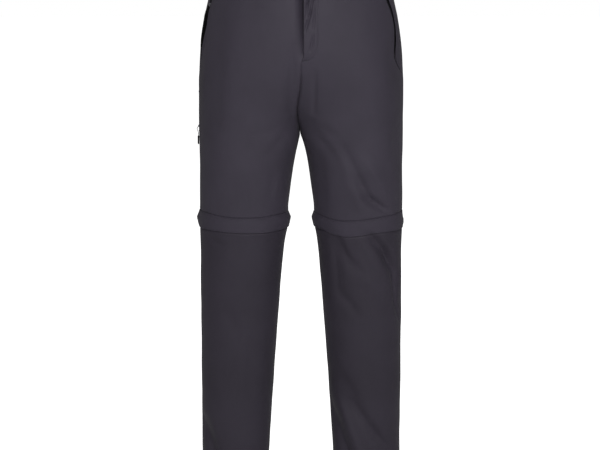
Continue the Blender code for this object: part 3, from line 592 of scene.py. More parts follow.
def finish(name, colour, spread, ends, roughness, bump, shader_values, pattern):
    """A material. The pattern gives the sockets that its colour, roughness and relief follow."""
    material = bpy.data.materials.new(name)
    material.use_nodes = True
    tree = material.node_tree
    tone, grain, height = pattern(tree)
    dye = add_node(tree, "ValToRGB", {"Fac": tone})
    for element, position, share in zip(dye.color_ramp.elements, ends, (1 - spread, 1 + spread)):
        element.position = position
        element.color = (*[c * share for c in colour], 1)
    rub = add_node(tree, "MapRange", {"Value": grain, "To Min": roughness[0], "To Max": roughness[1]})
    relief = add_node(tree, "Bump", {"Height": height, "Strength": bump[0], "Distance": bump[1]})
    shader = tree.nodes["Principled BSDF"]
    for socket, value in shader_values.items():
        shader.inputs[socket].default_value = value
    tree.links.new(dye.outputs["Color"], shader.inputs["Base Color"])
    tree.links.new(rub.outputs["Result"], shader.inputs["Roughness"])
    tree.links.new(relief.outputs["Normal"], shader.inputs["Normal"])
    return material


def woven(name, colour, roughness=0.62, thread=0.55 * MM, sheen=0.03, gloss=0.25):
    """A smooth woven cloth: fine crossed threads, a faint cast that varies and a soft sheen."""

    def pattern(tree):
        place = add_node(tree, "UVMap", {}, uv_map="cloth").outputs["UV"]
        wave = {"Vector": place, "Scale": pi / (10 * thread), "Distortion": 0.6}
        wave |= {"Detail": 1.0, "Detail Scale": 0.15}
        weft, warp = (add_node(tree, "TexWave", wave, bands_direction=way).outputs["Fac"] for way in "XY")
        weave = add_node(tree, "Math", {0: weft, 1: warp}, operation="MULTIPLY").outputs[0]
        cast = add_node(tree, "TexNoise", {"Vector": place, "Scale": 9.0, "Detail": 5.0}).outputs["Fac"]
        slub = add_node(tree, "TexNoise", {"Vector": place, "Scale": 420.0, "Detail": 2.0}).outputs["Fac"]
        tone = add_node(tree, "Math", {0: weave, 1: 0.35, 2: cast}, operation="MULTIPLY_ADD").outputs[0]
        return tone, slub, add_node(tree, "Math", {0: weave, 1: slub}, operation="ADD").outputs[0]

    shader_values = {"Sheen Weight": sheen, "Sheen Roughness": 0.5, "Specular IOR Level": gloss}
    ends, bump, rough = (0.30, 0.85), (0.35, 0.12 * MM), (roughness - 0.06, roughness + 0.06)
    return finish(name, colour, 0.14, ends, rough, bump, shader_values, pattern)


upper_cloth = woven("charcoal_upper_cloth", (0.0404, 0.0344, 0.0494))
side_name = {LEFT: "left", RIGHT: "right"}
upper_heights = closer(rows_between(WAIST_SEAM, UPPER_END), -150 * MM, -208 * MM, 1.2 * MM)
upper_heights = closer(upper_heights, -499 * MM, -521.8 * MM, 0.8 * MM)
for leg in (LEFT, RIGHT):
    name = "upper_front_" + side_name[leg]
    front, cut, area = cut_panel(name, leg, upper_heights, front_columns, upper_cloth, front_lift)
    stands_for(front, "front_" + side_name[leg])

# Upper back panels
# The same cloth, one for each leg, a little wider than the fronts. They meet in the back rise
# seam and are shaped at the waist by one stitched dart each.

DART_END, DART_LONG, DART_DEEP, DART_WIDE, DART_AT = -130 * MM, 90 * MM, 1.3 * MM, 4 * MM, 0.52


def back_columns(leg, z):
    """Places across a back panel, from the side seam to the seat's."""
    return across(side_slit(leg, z), round_leg(BACK, z) - GAP / 2)


def back_lift(leg, u, z):
    """The dart, and the dip at the seam above the knee flap."""
    dart = DART_DEEP * float(ease((z - DART_END) / DART_LONG))
    middle = DART_AT * round_leg(BACK, z)
    dip = knee_dip(leg, u, z) if z < NEAR_KNEE else 0.0
    return -dart * np.exp(-(((u - middle) / DART_WIDE) ** 2)) - dip


for leg in (LEFT, RIGHT):
    name = "upper_back_" + side_name[leg]
    back, cut, area = cut_panel(name, leg, upper_heights, back_columns, upper_cloth, back_lift)
    stands_for(back, "back_" + side_name[leg])

# Seam binding
# The rise seam's edges are pressed open inside and bound with a narrow strip of the same cloth. It
# runs from the end of the fly under the crotch and up the back to the waist.

BINDING_HALF, BINDING, BINDING_END = 7 * MM, 0.3 * MM, -346 * MM
BINDING_DEPTH, BINDING_STEP = CLOTH + 0.1 * MM, 3.6 * MM
for name, face, lift, top in (
    ("front_rise_binding", FRONT, front_lift, -214 * MM),
    ("back_rise_binding", BACK, back_lift, -42 * MM),
):
    outer, inner, places = [], [], []
    strip_heights = np.arange(top, BINDING_END, -BINDING_STEP)
    for z in strip_heights:
        half = round_leg(face, z)
        near = face * np.linspace(half - BINDING_HALF, half - GAP / 2, 7)
        for skin, depth in ((outer, BINDING_DEPTH), (inner, BINDING_DEPTH + BINDING)):
            left, right = (cloth(leg, near, z, lift(leg, near, z) - depth) for leg in (LEFT, RIGHT))
            skin.append(np.concatenate([left, right[::-1]]))
        across_strip = np.linspace(-BINDING_HALF, BINDING_HALF, 14)
        places.append(np.column_stack([across_strip, np.full(14, z)]))
    strip = shell(name, outer, inner, places, upper_cloth, flip=face == FRONT)
    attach(strip, "trousers")

# Pocket facings
# The strip of the same cloth behind each hand pocket's mouth. It runs from the pocket's zip back
# to the side seam and closes the side below the waistband.

FACING_END = -240 * MM
LAP_STEP, STEP_TOP, STEP_SOFT, STEP_WIDE = 1.3 * MM, -194 * MM, 12 * MM, 9 * MM


def facing_columns(leg, z):
    """Places from the zip's far edge back to the side seam."""
    start = (mouth_width[leg](z) - mouth_edge[leg](z)) * MM
    return across(min(start, -GAP / 2 - 2 * FINE[-1] - MM), -GAP / 2, 14)


def facing_lift(leg, u, z):
    """Below the zip the facing lies lower than the front panel that laps over it."""
    lapped = float(ease((STEP_TOP - z) / STEP_SOFT))
    return -LAP_STEP * lapped * np.exp(-(((u - u[0]) / STEP_WIDE) ** 2))


facing_heights = rows_between(WAIST_SEAM, FACING_END)
for leg in (LEFT, RIGHT):
    name = "pocket_facing_cloth_" + side_name[leg]
    facing, cut, area = cut_panel(name, leg, facing_heights, facing_columns, upper_cloth, facing_lift)
    stands_for(facing, "pocket_facing_" + side_name[leg])

# Pocket lining
# The black mesh of the right pocket's bag shows in the gape of the mouth; its black is also painted
# shade for the hollow inside the gaping mouth. It comes out from under the front panel's edge and
# lies back over the facing.

LINING_TOP, LINING_END, LINING = -97 * MM, -197 * MM, 0.3 * MM
LINING_UNDER, LINING_RISE = 1.35 * MM, 2.1 * MM
lining_back = fair_curve(
    [-97, -103, -111, -121, -133, -147, -159, -171, -184, -197],
    [-33, -24, -14.5, -7, -3, -1.5, -3.5, -9, -18, -28],
)
# Near black with no sheen or gloss: the bag's mesh, and painted shade of the gape's hollow.
lining_mesh_painted_shade = woven("black_lining_painted_shade", (0.0022, 0.0022, 0.0026), 0.9, 1.0 * MM, 0.0, 0.05)


def lining_columns(leg, z):
    """From under the front panel's edge back to the lens-shaped limit of the gape."""
    return np.linspace(-mouth_edge[leg](z) * MM - 3 * MM, lining_back(z) * MM, 30)


def lining_lift(leg, u, z):
    """It starts under the front panel and rises over the facing."""
    mouth = mouth_width[leg](z) * MM
    return LINING_RISE * ease((u + mouth_edge[leg](z) * MM) / (0.45 * mouth + MM)) - LINING_UNDER


lining_heights = np.linspace(LINING_TOP, LINING_END, 50)
lining, cut, area = cut_panel(
    "pocket_lining_shade_right", RIGHT, lining_heights, lining_columns, lining_mesh_painted_shade, lining_lift, LINING
)
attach(lining, "trousers")

# Lower legs
# Two panels of the same cloth for each leg, joined at the side and inside seams, zipped on under
# the knee flap. The hem is turned up twice and stitched. Their colour is that cloth made darker:
# painted shade for the dimmer light low on the legs.

LOWER_TOP, HEM = -529 * MM, -1100 * MM
HEM_DEPTH, HEM_STEP = 24 * MM, 0.45 * MM
KNEE_TUCK, TUCK_SOFT, TUCK_END = 1.1 * MM, 2.6 * MM, -570 * MM


def lower_front_columns(leg, z):
    """Places across a lower front, from the inside seam to the side seam."""
    return across(GAP / 2 - round_leg(FRONT, z), -GAP / 2, 112)


def lower_back_columns(leg, z):
    """Places across a lower back, from the side seam to the inside seam."""
    return across(GAP / 2, round_leg(BACK, z) - GAP / 2)


def lower_lift(leg, u, z):
    """The leg draws in just below the flap, and the doubled hem stands out below its stitching."""
    hem = HEM_STEP * float(ease((HEM_DEPTH - (z - HEM)) / (4 * MM)))
    if z < TUCK_END:
        return hem
    share = share_at(u, z)
    below = flap_edge(leg, share, "end") - z
    return hem - KNEE_TUCK * np.exp(-(((below - 0.6 * MM) / TUCK_SOFT) ** 2))


# The same charcoal made darker: painted shade for the lower legs.
lower_cloth_painted_shade = woven("charcoal_cloth_painted_shade_lower", (0.0287, 0.0238, 0.0352))
lower_heights = closer(rows_between(LOWER_TOP, HEM), -532.4 * MM, -555 * MM, 0.9 * MM)
for leg in (LEFT, RIGHT):
    for face, columns in (("front", lower_front_columns), ("back", lower_back_columns)):
        node = f"lower_{face}_{side_name[leg]}"
        panel, cut, area = cut_panel("leg_" + node, leg, lower_heights, columns, lower_cloth_painted_shade, lower_lift)
        stands_for(panel, node)

# Knee flaps
# A folded strip of the same cloth right round each leg, sewn on above the leg zip and hanging
# over it. It stands proud of the leg, most on the inside, and bulges over the zip's slider. Its
# colour is that cloth made a little darker, painted shade.

FLAP_THICK, FLAP_TALL = 0.9 * MM, 33 * MM
flap_clear = fair_curve([0, -150, -400, -650, -1000], [-0.70, -0.40, 0.15, 0.45, 0.75])
COVER, COVER_ROUND, COVER_TALL = 1.7 * MM, 9 * MM, 7 * MM
FLAP_WAVE, WAVE_FADE, FLAP_CUT = 0.3 * MM, 12 * MM, 250 * MM


def flap_off(leg, u, z):
    """How far the flap's underside stands off the leg. It bulges over the zip's slider."""
    share = share_at(u, z)
    top, end = flap_edge(leg, share, "top"), flap_edge(leg, share, "end")
    clear = np.array([flap_clear(-1000 * MM * d) for d in (top - z) / (top - end)]) * MM
    cover = COVER * np.exp(-((u / COVER_ROUND) ** 4) - ((z - KNEE_ZIP) / COVER_TALL) ** 4)
    wave = [noise.noise(Vector((s * 8, leg * 3.7, z * 9))) for s in share]
    return clear + cover + np.array(wave) * FLAP_WAVE * ease((top - z) / WAVE_FADE)


def round_shares(count):
    """Shares right round the leg, from the front's inner edge to the back's."""
    return np.append(np.linspace(-1, 0, count)[:-1], np.linspace(0, 1, count)[:-1])


def flap_place(leg, share, down):
    """The place on the leg of a point of the flap, a share of the way down it."""
    top, end = flap_edge(leg, share, "top")[0], flap_edge(leg, share, "end")[0]
    z = float(top + (end - top) * down)
    return share * round_leg(FRONT if share <= 0 else BACK, z), z


KNEE_LEVELS = np.arange(-556, -496, 1.5) * MM
round_knee = float(round_leg(FRONT, KNEE_ZIP) + round_leg(BACK, KNEE_ZIP))
shares = round_shares(128)
front_shares = shares <= 0
# The same charcoal, a little darker: painted shade on the knee flaps.
flap_cloth_painted_shade = woven("charcoal_cloth_painted_shade_flap", (0.0388, 0.0328, 0.0478))
for leg in (LEFT, RIGHT):
    skins = []
    for level in KNEE_LEVELS:
        u = shares * np.where(front_shares, round_leg(FRONT, level), round_leg(BACK, level))
        under = flap_off(leg, u, level)
        skins.append([cloth(leg, u, level, under + rise) for rise in (FLAP_THICK, FLAP_THICK / 2, 0)])
    skins = np.array(skins)
    top, end = flap_edge(leg, shares, "top"), flap_edge(leg, shares, "end")
    outer, inner, places = [], [], []
    for down in rows_between(0.0, -FLAP_TALL, 2.2 * MM) / -FLAP_TALL:
        z = top + (end - top) * down
        at = (z - KNEE_LEVELS[0]) / (KNEE_LEVELS[1] - KNEE_LEVELS[0])
        low = np.floor(at).astype(int)
        rest = (at - low)[:, None, None]
        column = np.arange(len(shares))
        layers = skins[low, :, column] * (1 - rest) + skins[low + 1, :, column] * rest
        edge = turned(min(down, 1 - down) * FLAP_TALL) / FLAP_THICK
        outer.append(layers[:, 0] * (1 - edge) + layers[:, 2] * edge)
        inner.append(layers[:, 2])
        places.append(np.column_stack([shares * FLAP_CUT, z]))
    name = "flap_" + side_name[leg]
    flap = shell(name, outer, inner, places, flap_cloth_painted_shade, closed=True, flip=leg == RIGHT)
    stands_for(flap, "knee_flap_" + side_name[leg])

# Waistband
# A doubled strip of the same cloth, 40 mm tall, sewn to the top of the panels. Its left end laps
# over the right one at the middle of the front and buttons there.

BAND_HEIGHT, BAND_THICK, BAND_PROUD = 40 * MM, 2.2 * MM, 0.3 * MM
BAND_UNDERLAP, BAND_DIP_START, BAND_DIP_LONG, BAND_FIRST = 38 * MM, 15 * MM, 18 * MM, 6 * MM


def band_row(z, off):
    """One row of the band, from its left end round the back to its right one, and the way along it."""
    front, back = round_leg(FRONT, z), round_leg(BACK, z)
    over_back = np.linspace(0, back, 84)
    over_front = np.linspace(FLY_EDGE - front + BAND_FIRST, 0, 78)
    left = np.concatenate([FLY_EDGE - front + FINE, over_front, over_back[1:]])
    under = np.linspace(-front, -front - BAND_UNDERLAP, 12)
    right = np.concatenate([over_back[-2::-1], np.linspace(0, -front, 80)[1:], under[1:]])
    dip = ease((BAND_DIP_START - front - right) / BAND_DIP_LONG) * (BAND_THICK + GAP)
    points = np.concatenate([cloth(LEFT, left, z, off), cloth(RIGHT, right, z, off - dip)])
    return points, np.concatenate([left, 2 * back - right])


outer, inner, places = [], [], []
for z in rows_between(0.0, -BAND_HEIGHT, 3 * MM):
    z = min(z, -1e-6)
    edge = turned(min(-z, z + BAND_HEIGHT))
    points, way = band_row(z, BAND_PROUD - edge)
    outer.append(points)
    inner.append(band_row(z, BAND_PROUD - BAND_THICK + edge)[0])
    places.append(np.column_stack([way, np.full(len(way), z)]))
band = shell("band", outer, inner, places, upper_cloth)
stands_for(band, "waistband")

# Topstitching
# Lock stitches of a charcoal polyester thread, 3 mm from one to the next, hold down the panels'
# edges. Short dense bars of the same thread lock the ends of the fly and of each pocket. The thread
# is a little darker than the cloth: its own charcoal, and partly painted shade of the grooves the
# stitching lies in.

STITCH, STITCH_GAP, THREAD, ON_TOP = 2.3 * MM, 0.7 * MM, 0.42 * MM, 0.1 * MM
Ring = namedtuple("Ring", "share wide high")
THREAD_RINGS = [
    Ring(0.0, 0.35, -0.35), Ring(0.2, 0.9, 0.1), Ring(0.5, 1.0, 0.25), Ring(0.8, 0.9, 0.1),
    Ring(1.0, 0.35, -0.35),
]
THREAD_SIDES = 5


def straight_out(leg, u, z):
    """The direction straight out of the form at one place on it."""
    return outward(leg, share_at([u], z), z)[0]


def trace(leg, places, lift=None, above=0.0, apart=3 * MM):
    """Points and outward directions along a chain of (u, z) places on the cloth."""
    chain = np.array(places, float)
    dense = [chain[0]]
    for start, end in zip(chain[:-1], chain[1:]):
        count = max(1, int(np.ceil(np.hypot(*(end - start)) / apart)))
        dense.extend(start + (end - start) * i / count for i in range(1, count + 1))
    points, outs = [], []
    for u, z in dense:
        off = above + (float(lift(leg, np.array([u]), z)[0]) if lift else 0.0)
        points.append(cloth(leg, [u], z, off)[0])
        outs.append(straight_out(leg, u, z))
    return np.array(points), np.array(outs)


def stepped(path, long=STITCH, apart=STITCH_GAP):
    """Where each thread of a row starts and ends along a path, and which way is out."""
    points, outs = path
    way = np.concatenate([[0], np.cumsum(np.linalg.norm(np.diff(points, axis=0), axis=1))])
    at = np.arange(0.0, way[-1] - long, long + apart)

    def pick(places, values):
        return np.column_stack([np.interp(places, way, values[:, i]) for i in range(3)])

    return pick(at, points), pick(at + long, points), pick(at + long / 2, outs)


def stitched(leg, places, lift=None, above=ON_TOP):
    """A row of lock stitches along a chain of places on the cloth."""
    return stepped(trace(leg, places, lift, above))


def crossing(path, half, apart, slant=0.0):
    """Threads laid across a path, side by side, with each one slanted along it."""
    starts, ends, outs = stepped(path, apart * 0.5, apart * 0.5)
    way = ends - starts
    way /= np.linalg.norm(way, axis=1)[:, None]
    side = np.cross(way, outs) * half
    return starts - side - way * slant, starts + side + way * slant, outs


def threads(name, rows, thick, material):
    """Short rounded threads, each from its start to its end and dipping in at both."""
    starts, ends, outs = (np.concatenate(parts) for parts in zip(*rows))
    way = ends - starts
    side = np.cross(way / np.linalg.norm(way, axis=1)[:, None], outs)
    turn = np.arange(THREAD_SIDES) * 2 * pi / THREAD_SIDES
    share, wide, high = np.array(THREAD_RINGS).T
    centre = starts[:, None] + way[:, None] * share[None, :, None]
    centre = centre + outs[:, None] * (high * thick)[None, :, None]
    spoke = side[:, None] * np.cos(turn)[None, :, None] + outs[:, None] * np.sin(turn)[None, :, None]
    points = centre[:, :, None] + spoke[:, None] * (wide * thick / 2)[None, :, None, None]
    rings, count = len(share), len(starts)
    k, j = np.meshgrid(np.arange(rings - 1), np.arange(THREAD_SIDES), indexing="ij")
    n = (j + 1) % THREAD_SIDES
    quad = np.stack([k, k, k + 1, k + 1], -1) * THREAD_SIDES + np.stack([j, n, n, j], -1)
    first = np.arange(count)[:, None, None] * rings * THREAD_SIDES
    quads = (quad.reshape(1, -1, 4) + first).reshape(-1, 4).tolist()
    low, top = np.arange(THREAD_SIDES)[::-1], np.arange(THREAD_SIDES) + (rings - 1) * THREAD_SIDES
    ends_closed = (np.stack([low, top])[None] + first).reshape(-1, THREAD_SIDES).tolist()
    mesh = bpy.data.meshes.new(name)
    mesh.from_pydata(points.reshape(-1, 3).tolist(), [], quads + ends_closed)
    piece = piece_of(name, mesh, material)
    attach(piece, "trousers")


def dyed(name, colour, roughness, metallic=0.0, grain=900.0, bump=0.03 * MM, coat=0.0, gloss=0.5):
    """A finish with a little grain: thread, moulded plastic or painted metal."""

    def pattern(tree):
        place = add_node(tree, "TexCoord", {}).outputs["Object"]
        speck = add_node(tree, "TexNoise", {"Vector": place, "Scale": grain, "Detail": 3.0}).outputs["Fac"]
        return speck, speck, speck

    shader_values = {"Metallic": metallic, "Coat Weight": coat, "Specular IOR Level": gloss}
    rough = (roughness - 0.08, roughness + 0.08)
    return finish(name, colour, 0.2, (0.3, 0.7), rough, (0.4, bump), shader_values, pattern)


def run_down(leg, place, top, end, count=24):
    """A chain of places down the cloth, where place gives u at each height."""
    return [(place(leg, z), z) for z in np.linspace(top, end, count)]


def ring(z, count=48):
    """A chain of places right round the leg, all but its inner edge."""
    front = np.linspace(-round_leg(FRONT, z) + MM, 0, count)
    return [(u, z) for u in np.append(front, np.linspace(0, round_leg(BACK, z) - MM, count)[1:])]


def fly_places(inset):
    """The fly's stitching as places on the left front."""
    return [(from_middle - round_leg(FRONT, z), z) for from_middle, z in fly_curve(inset)]


# Thread a little darker than the cloth: its own charcoal, and painted shade of the stitched grooves.
thread_finish_groove_shade = dyed("charcoal_thread_groove_shade", (0.032, 0.028, 0.039), 0.55, grain=2500, gloss=0.3)
ROW_TOP, SEAT_END = -44 * MM, -270 * MM
rows = [stitched(LEFT, fly_places(inset), front_lift) for inset in (0, 6 * MM)]
for leg in (LEFT, RIGHT):
    for inset in (2 * MM, 7.5 * MM):
        front_edge = lambda side, z: -mouth_edge[side](z) * MM - inset
        rows.append(stitched(leg, run_down(leg, front_edge, ROW_TOP, -204 * MM), front_lift))
    back_edge = lambda side, z: (mouth_width[side](z) - mouth_edge[side](z)) * MM + 2 * MM
    rows.append(stitched(leg, run_down(leg, back_edge, ROW_TOP, -200 * MM)))
    seat_seam = lambda side, z: round_leg(BACK, z) - 2.5 * MM
    rows.append(stitched(leg, run_down(leg, seat_seam, ROW_TOP, SEAT_END), back_lift))
rise = lambda side, z: 2.5 * MM - round_leg(FRONT, z)
rows.append(stitched(LEFT, run_down(LEFT, rise, -212 * MM, -280 * MM), front_lift))
for side in (-1, 1):
    slit = lambda leg, z: side * (THIGH_MOUTH / 2 + 2 * MM)
    rows.append(stitched(RIGHT, run_down(RIGHT, slit, -266 * MM, -349 * MM)))
threads("upper_stitches", rows, THREAD, thread_finish_groove_shade)

rows = []
for leg in (LEFT, RIGHT):
    for from_edge in (2.2 * MM, FLAP_TALL - 3.2 * MM):
        line = [flap_place(leg, share, from_edge / FLAP_TALL) for share in round_shares(48)]
        rows.append(stitched(leg, line, flap_off, FLAP_THICK + ON_TOP))
threads("flap_stitches", rows, THREAD, thread_finish_groove_shade)
hem_line = ring(HEM + HEM_DEPTH - 1.5 * MM)
rows = [stitched(leg, hem_line, None, HEM_STEP + ON_TOP) for leg in (LEFT, RIGHT)]
threads("hem_stitches", rows, THREAD, thread_finish_groove_shade)
rows = []
for z in (-2.4 * MM, -BAND_HEIGHT + 2.2 * MM):
    points = band_row(z, BAND_PROUD + ON_TOP)[0]
    centre = np.array([0, 0, z])
    outs = (points - centre) / np.linalg.norm(points - centre, axis=1)[:, None]
    rows.append(stepped((points[len(FINE) :], outs[len(FINE) :])))
threads("band_stitches", rows, THREAD, thread_finish_groove_shade)


def bar(leg, start, end, lift=None, half=0.9 * MM):
    """A bar of thread wound side by side between two places."""
    return crossing(trace(leg, [start, end], lift, 0.35 * MM, MM), half, 0.42 * MM)


fly_end = -round_leg(FRONT, FLY_TACK)
bars = [bar(LEFT, (fly_end + 0.8 * MM, FLY_TACK), (fly_end + 12 * MM, FLY_TACK + 2 * MM), front_lift, MM)]
for leg in (LEFT, RIGHT):
    for z in (-45 * MM, -203 * MM):
        edge = -mouth_edge[leg](z) * MM
        wide = max(mouth_width[leg](z) * MM, 2 * MM)
        bars.append(bar(leg, (edge - 6 * MM, z), (edge + wide + 3 * MM, z)))
for z in (THIGH_ZIP_TOP + 1.5 * MM, THIGH_ZIP_END - 1.5 * MM):
    bars.append(bar(RIGHT, (-THIGH_MOUTH / 2 - 3 * MM, z), (THIGH_MOUTH / 2 + 3 * MM, z)))
threads("lock_bars", bars, 0.5 * MM, thread_finish_groove_shade)

# Hand pocket zips
# A black nylon coil on a black woven tape behind each mouth, a painted slider near the top and a
# flat moulded pull tab that hangs from the slider's pin.

TAPE, TAPE_DEPTH, TAPE_LAP = 0.8 * MM, 2.0 * MM, 8 * MM
TAPE_TOP = WAIST_SEAM + 3 * MM
COIL_HALF, COIL_PITCH, COIL_THICK = 1.9 * MM, 1.3 * MM, 0.95 * MM
COIL_DEPTH, COIL_SLANT, COIL_LEAN = TAPE_DEPTH - 0.2 * MM, 0.25 * MM, 0.06
HAND_ZIP_END = -202 * MM
HAND_SLIDER_Z = {LEFT: -56 * MM, RIGHT: -98 * MM}
SLIDER_BODY, SLIDER_BASE, PIN_RISE = 1.4 * MM, 1.1 * MM, 2.4 * MM

tape_cloth = woven("black_tape", (0.0025, 0.0025, 0.0030), 0.8, 0.9 * MM, 0.0, 0.06)
coil_nylon = dyed("black_coil", (0.005, 0.005, 0.006), 0.5, gloss=0.15)
slider_paint = dyed("grey_slider", (0.17, 0.17, 0.18), 0.42, 0.8, 1400)
pull_moulded = dyed("dark_moulded", (0.006, 0.006, 0.007), 0.66, 0, 1800, 0.05 * MM, gloss=0.07)


def tape(name, leg, heights, columns, depth, node, wide=None):
    """A woven strip under the cloth. One that runs right round the leg has its width given."""
    outer, inner, places = [], [], []
    for z in heights:
        u = columns(leg, z)
        outer.append(cloth(leg, u, z, -depth))
        inner.append(cloth(leg, u, z, -depth - TAPE))
        places.append(np.column_stack([u, np.full(len(u), z)]))
    strip = shell(name, outer, inner, places, tape_cloth, closed=bool(wide), flip=leg == RIGHT)
    stands_for(strip, node)


def coil(name, leg, places, depth):
    """The two nylon coils meshed together: turns side by side, leaning one way and the other."""
    path = trace(leg, places, None, -depth)
    starts, ends, outs = crossing(path, COIL_HALF, COIL_PITCH, COIL_SLANT)
    lean = np.where(np.arange(len(starts)) % 2, 1, -1)[:, None] * (ends - starts) * COIL_LEAN
    threads(name, [(starts + lean, ends + lean, outs)], COIL_THICK, coil_nylon)


def in_mm(points):
    """Points given in millimetres."""
    return [(x * MM, y * MM) for x, y in points]


def seat(leg, u, z, off, lean=0.0):
    """A frame on the cloth: X round the leg, Y up it and Z outward, turned by u for each z."""
    point = cloth(leg, [u], z, off)[0]
    step = 3 * MM
    up = Vector(cloth(leg, [u + lean * step], z + step, off)[0] - point)
    out = Vector(straight_out(leg, u, z))
    up = (up - out * up.dot(out)).normalized()
    place = Matrix([up.cross(out), up, out]).transposed().to_4x4()
    place.translation = Vector(point)
    return place


def flat_piece(name, edge, low, high, place, material, round_off=0.25 * MM, hole=None):
    """A plate with a rounded rim: an outline in X and Y, and a slot in it where there is a hole."""
    curve = bpy.data.curves.new(name, "CURVE")
    curve.dimensions = "2D"
    curve.fill_mode = "BOTH"
    curve.extrude = (high - low) / 2 - round_off
    curve.bevel_depth = round_off
    curve.bevel_resolution = 2
    for line in (edge, hole) if hole else (edge,):
        spline = curve.splines.new("POLY")
        spline.points.add(len(line) - 1)
        for point, (x, y) in zip(spline.points, line):
            point.co = (x, y, 0, 1)
        spline.use_cyclic_u = True
    curve.offset = -round_off
    drawn = bpy.data.objects.new(name + "_outline", curve)
    bpy.context.scene.collection.objects.link(drawn)
    bpy.context.view_layer.update()
    mesh = bpy.data.meshes.new_from_object(drawn.evaluated_get(bpy.context.evaluated_depsgraph_get()))
    bpy.data.objects.remove(drawn)
    mesh.name = name
    mesh.transform(place @ Matrix.Translation((0, 0, (low + high) / 2)))
    return piece_of(name, mesh, material, 40)


def rounded(corners, radius, steps=4):
    """An outline whose corners are rounded."""
    line = []
    count = len(corners)
    for i in range(count):
        before, corner, after = (Vector(corners[(i + k) % count]) for k in (-1, 0, 1))
        reach = min(radius, (before - corner).length / 2.1, (after - corner).length / 2.1)
        a = corner + (before - corner).normalized() * reach
        b = corner + (after - corner).normalized() * reach
        for k in range(steps + 1):
            t = k / steps
            line.append(tuple(a * (1 - t) ** 2 + corner * 2 * t * (1 - t) + b * t * t))
    return line


def mesh_of(bm, name):
    """The mesh that a bmesh has made."""
    mesh = bpy.data.meshes.new(name)
    bm.to_mesh(mesh)
    bm.free()
    return mesh


def rod(name, half, y, z, radius, place, material, sides=16):
    """A short round rod along X, with its middle at y and z."""
    bm = bmesh.new()
    ends = dict(radius1=radius, radius2=radius, depth=2 * half)
    bmesh.ops.create_cone(bm, cap_ends=True, segments=sides, **ends)
    turn = Vector((1, 0, 0)).to_track_quat("Z", "Y").to_matrix().to_4x4()
    turn.translation = (0, y, z)
    bm.transform(place @ turn)
    return piece_of(name, mesh_of(bm, name), material, 40)


def joined(name, parts):
    """One piece made of several meshes."""
    bm = bmesh.new()
    for part in parts:
        bm.from_mesh(part.data)
    material = parts[0].data.materials[0]
    for part in parts:
        bpy.data.objects.remove(part)
    return piece_of(name, mesh_of(bm, name), material, 40)


# The outlines of the slider's plate, one of its ears, the pull tab and the slot in the tab.
SLIDER_LINE = in_mm([
    (-3.1, 4.2), (-3.1, 0.4), (-2.3, -4.2), (2.3, -4.2), (3.1, 0.4), (3.1, 4.2), (0.9, 3.2), (-0.9, 3.2),
])
EAR_LINE = in_mm([(-2.6, 0), (2.6, 0), (1.5, 1.9), (-1.5, 1.9)])
EAR_THICK, EARS_AT = 0.9 * MM, (-2.2 * MM, 1.3 * MM)
PIN_HALF, PIN_RADIUS, BARREL_HALF, BARREL_RADIUS = 2.0 * MM, 0.45 * MM, MM, 0.75 * MM
TAB_LINE = in_mm([
    (-0.95, 0.3), (-0.95, -5), (-2.4, -7.5), (-2.4, -15.6), (-1.4, -17), (1.4, -17), (2.4, -15.6),
    (2.4, -7.5), (0.95, -5), (0.95, 0.3),
])
TAB_SLOT = in_mm([(-0.75, -8.2), (0.75, -8.2), (0.75, -11.2), (-0.75, -11.2)])
TAB_HALF, TAB_ROUND = 0.5 * MM, 0.2 * MM
GRIP_HALF, GRIP_RADIUS, GRIP_RISE = 1.7 * MM, 0.22 * MM, 0.45 * MM


def pocket_slider(name, place, node):
    """A slider: a tapered body, two ears and the pin that carries the pull."""
    parts = [flat_piece("body", rounded(SLIDER_LINE, 0.9 * MM), 0, SLIDER_BODY, place, slider_paint)]
    stand = Matrix(((0, 0, 1, 0), (1, 0, 0, 0), (0, 1, 0, SLIDER_BODY - 0.1 * MM), (0, 0, 0, 1)))
    ear_line = rounded(EAR_LINE, 0.9 * MM)
    for low in EARS_AT:
        ear = flat_piece("ear", ear_line, low, low + EAR_THICK, place @ stand, slider_paint, 0.15 * MM)
        parts.append(ear)
    parts.append(rod("pin", PIN_HALF, 0, PIN_RISE, PIN_RADIUS, place, slider_paint))
    stands_for(joined(name, parts), node)


def pull_tab(name, place, node, body):
    """A flat moulded tab on a barrel round the pin, with a slot and raised grip bars."""
    edge, slot = rounded(TAB_LINE, MM), rounded(TAB_SLOT, 0.6 * MM)
    parts = [flat_piece("tab", edge, -TAB_HALF, TAB_HALF, place, pull_moulded, TAB_ROUND, slot)]
    parts.append(rod("barrel", BARREL_HALF, 0, 0, BARREL_RADIUS, place, pull_moulded))
    for y in (-12.4 * MM, -13.4 * MM, -14.4 * MM, -15.4 * MM):
        for rise in (-GRIP_RISE, GRIP_RISE):
            parts.append(rod("grip", GRIP_HALF, y, rise, GRIP_RADIUS, place, pull_moulded, 8))
    stands_for(joined(name, parts), node, body)


def hand_tape_columns(leg, z):
    """Places across the mouth and under the cloth on both sides of it."""
    start = -mouth_edge[leg](z) * MM
    return np.linspace(start - TAPE_LAP, start + mouth_width[leg](z) * MM + TAPE_LAP, 14)


def coil_line(leg, z):
    """The middle of the pocket's mouth, where the two coils mesh."""
    return (mouth_width[leg](z) / 2 - mouth_edge[leg](z)) * MM


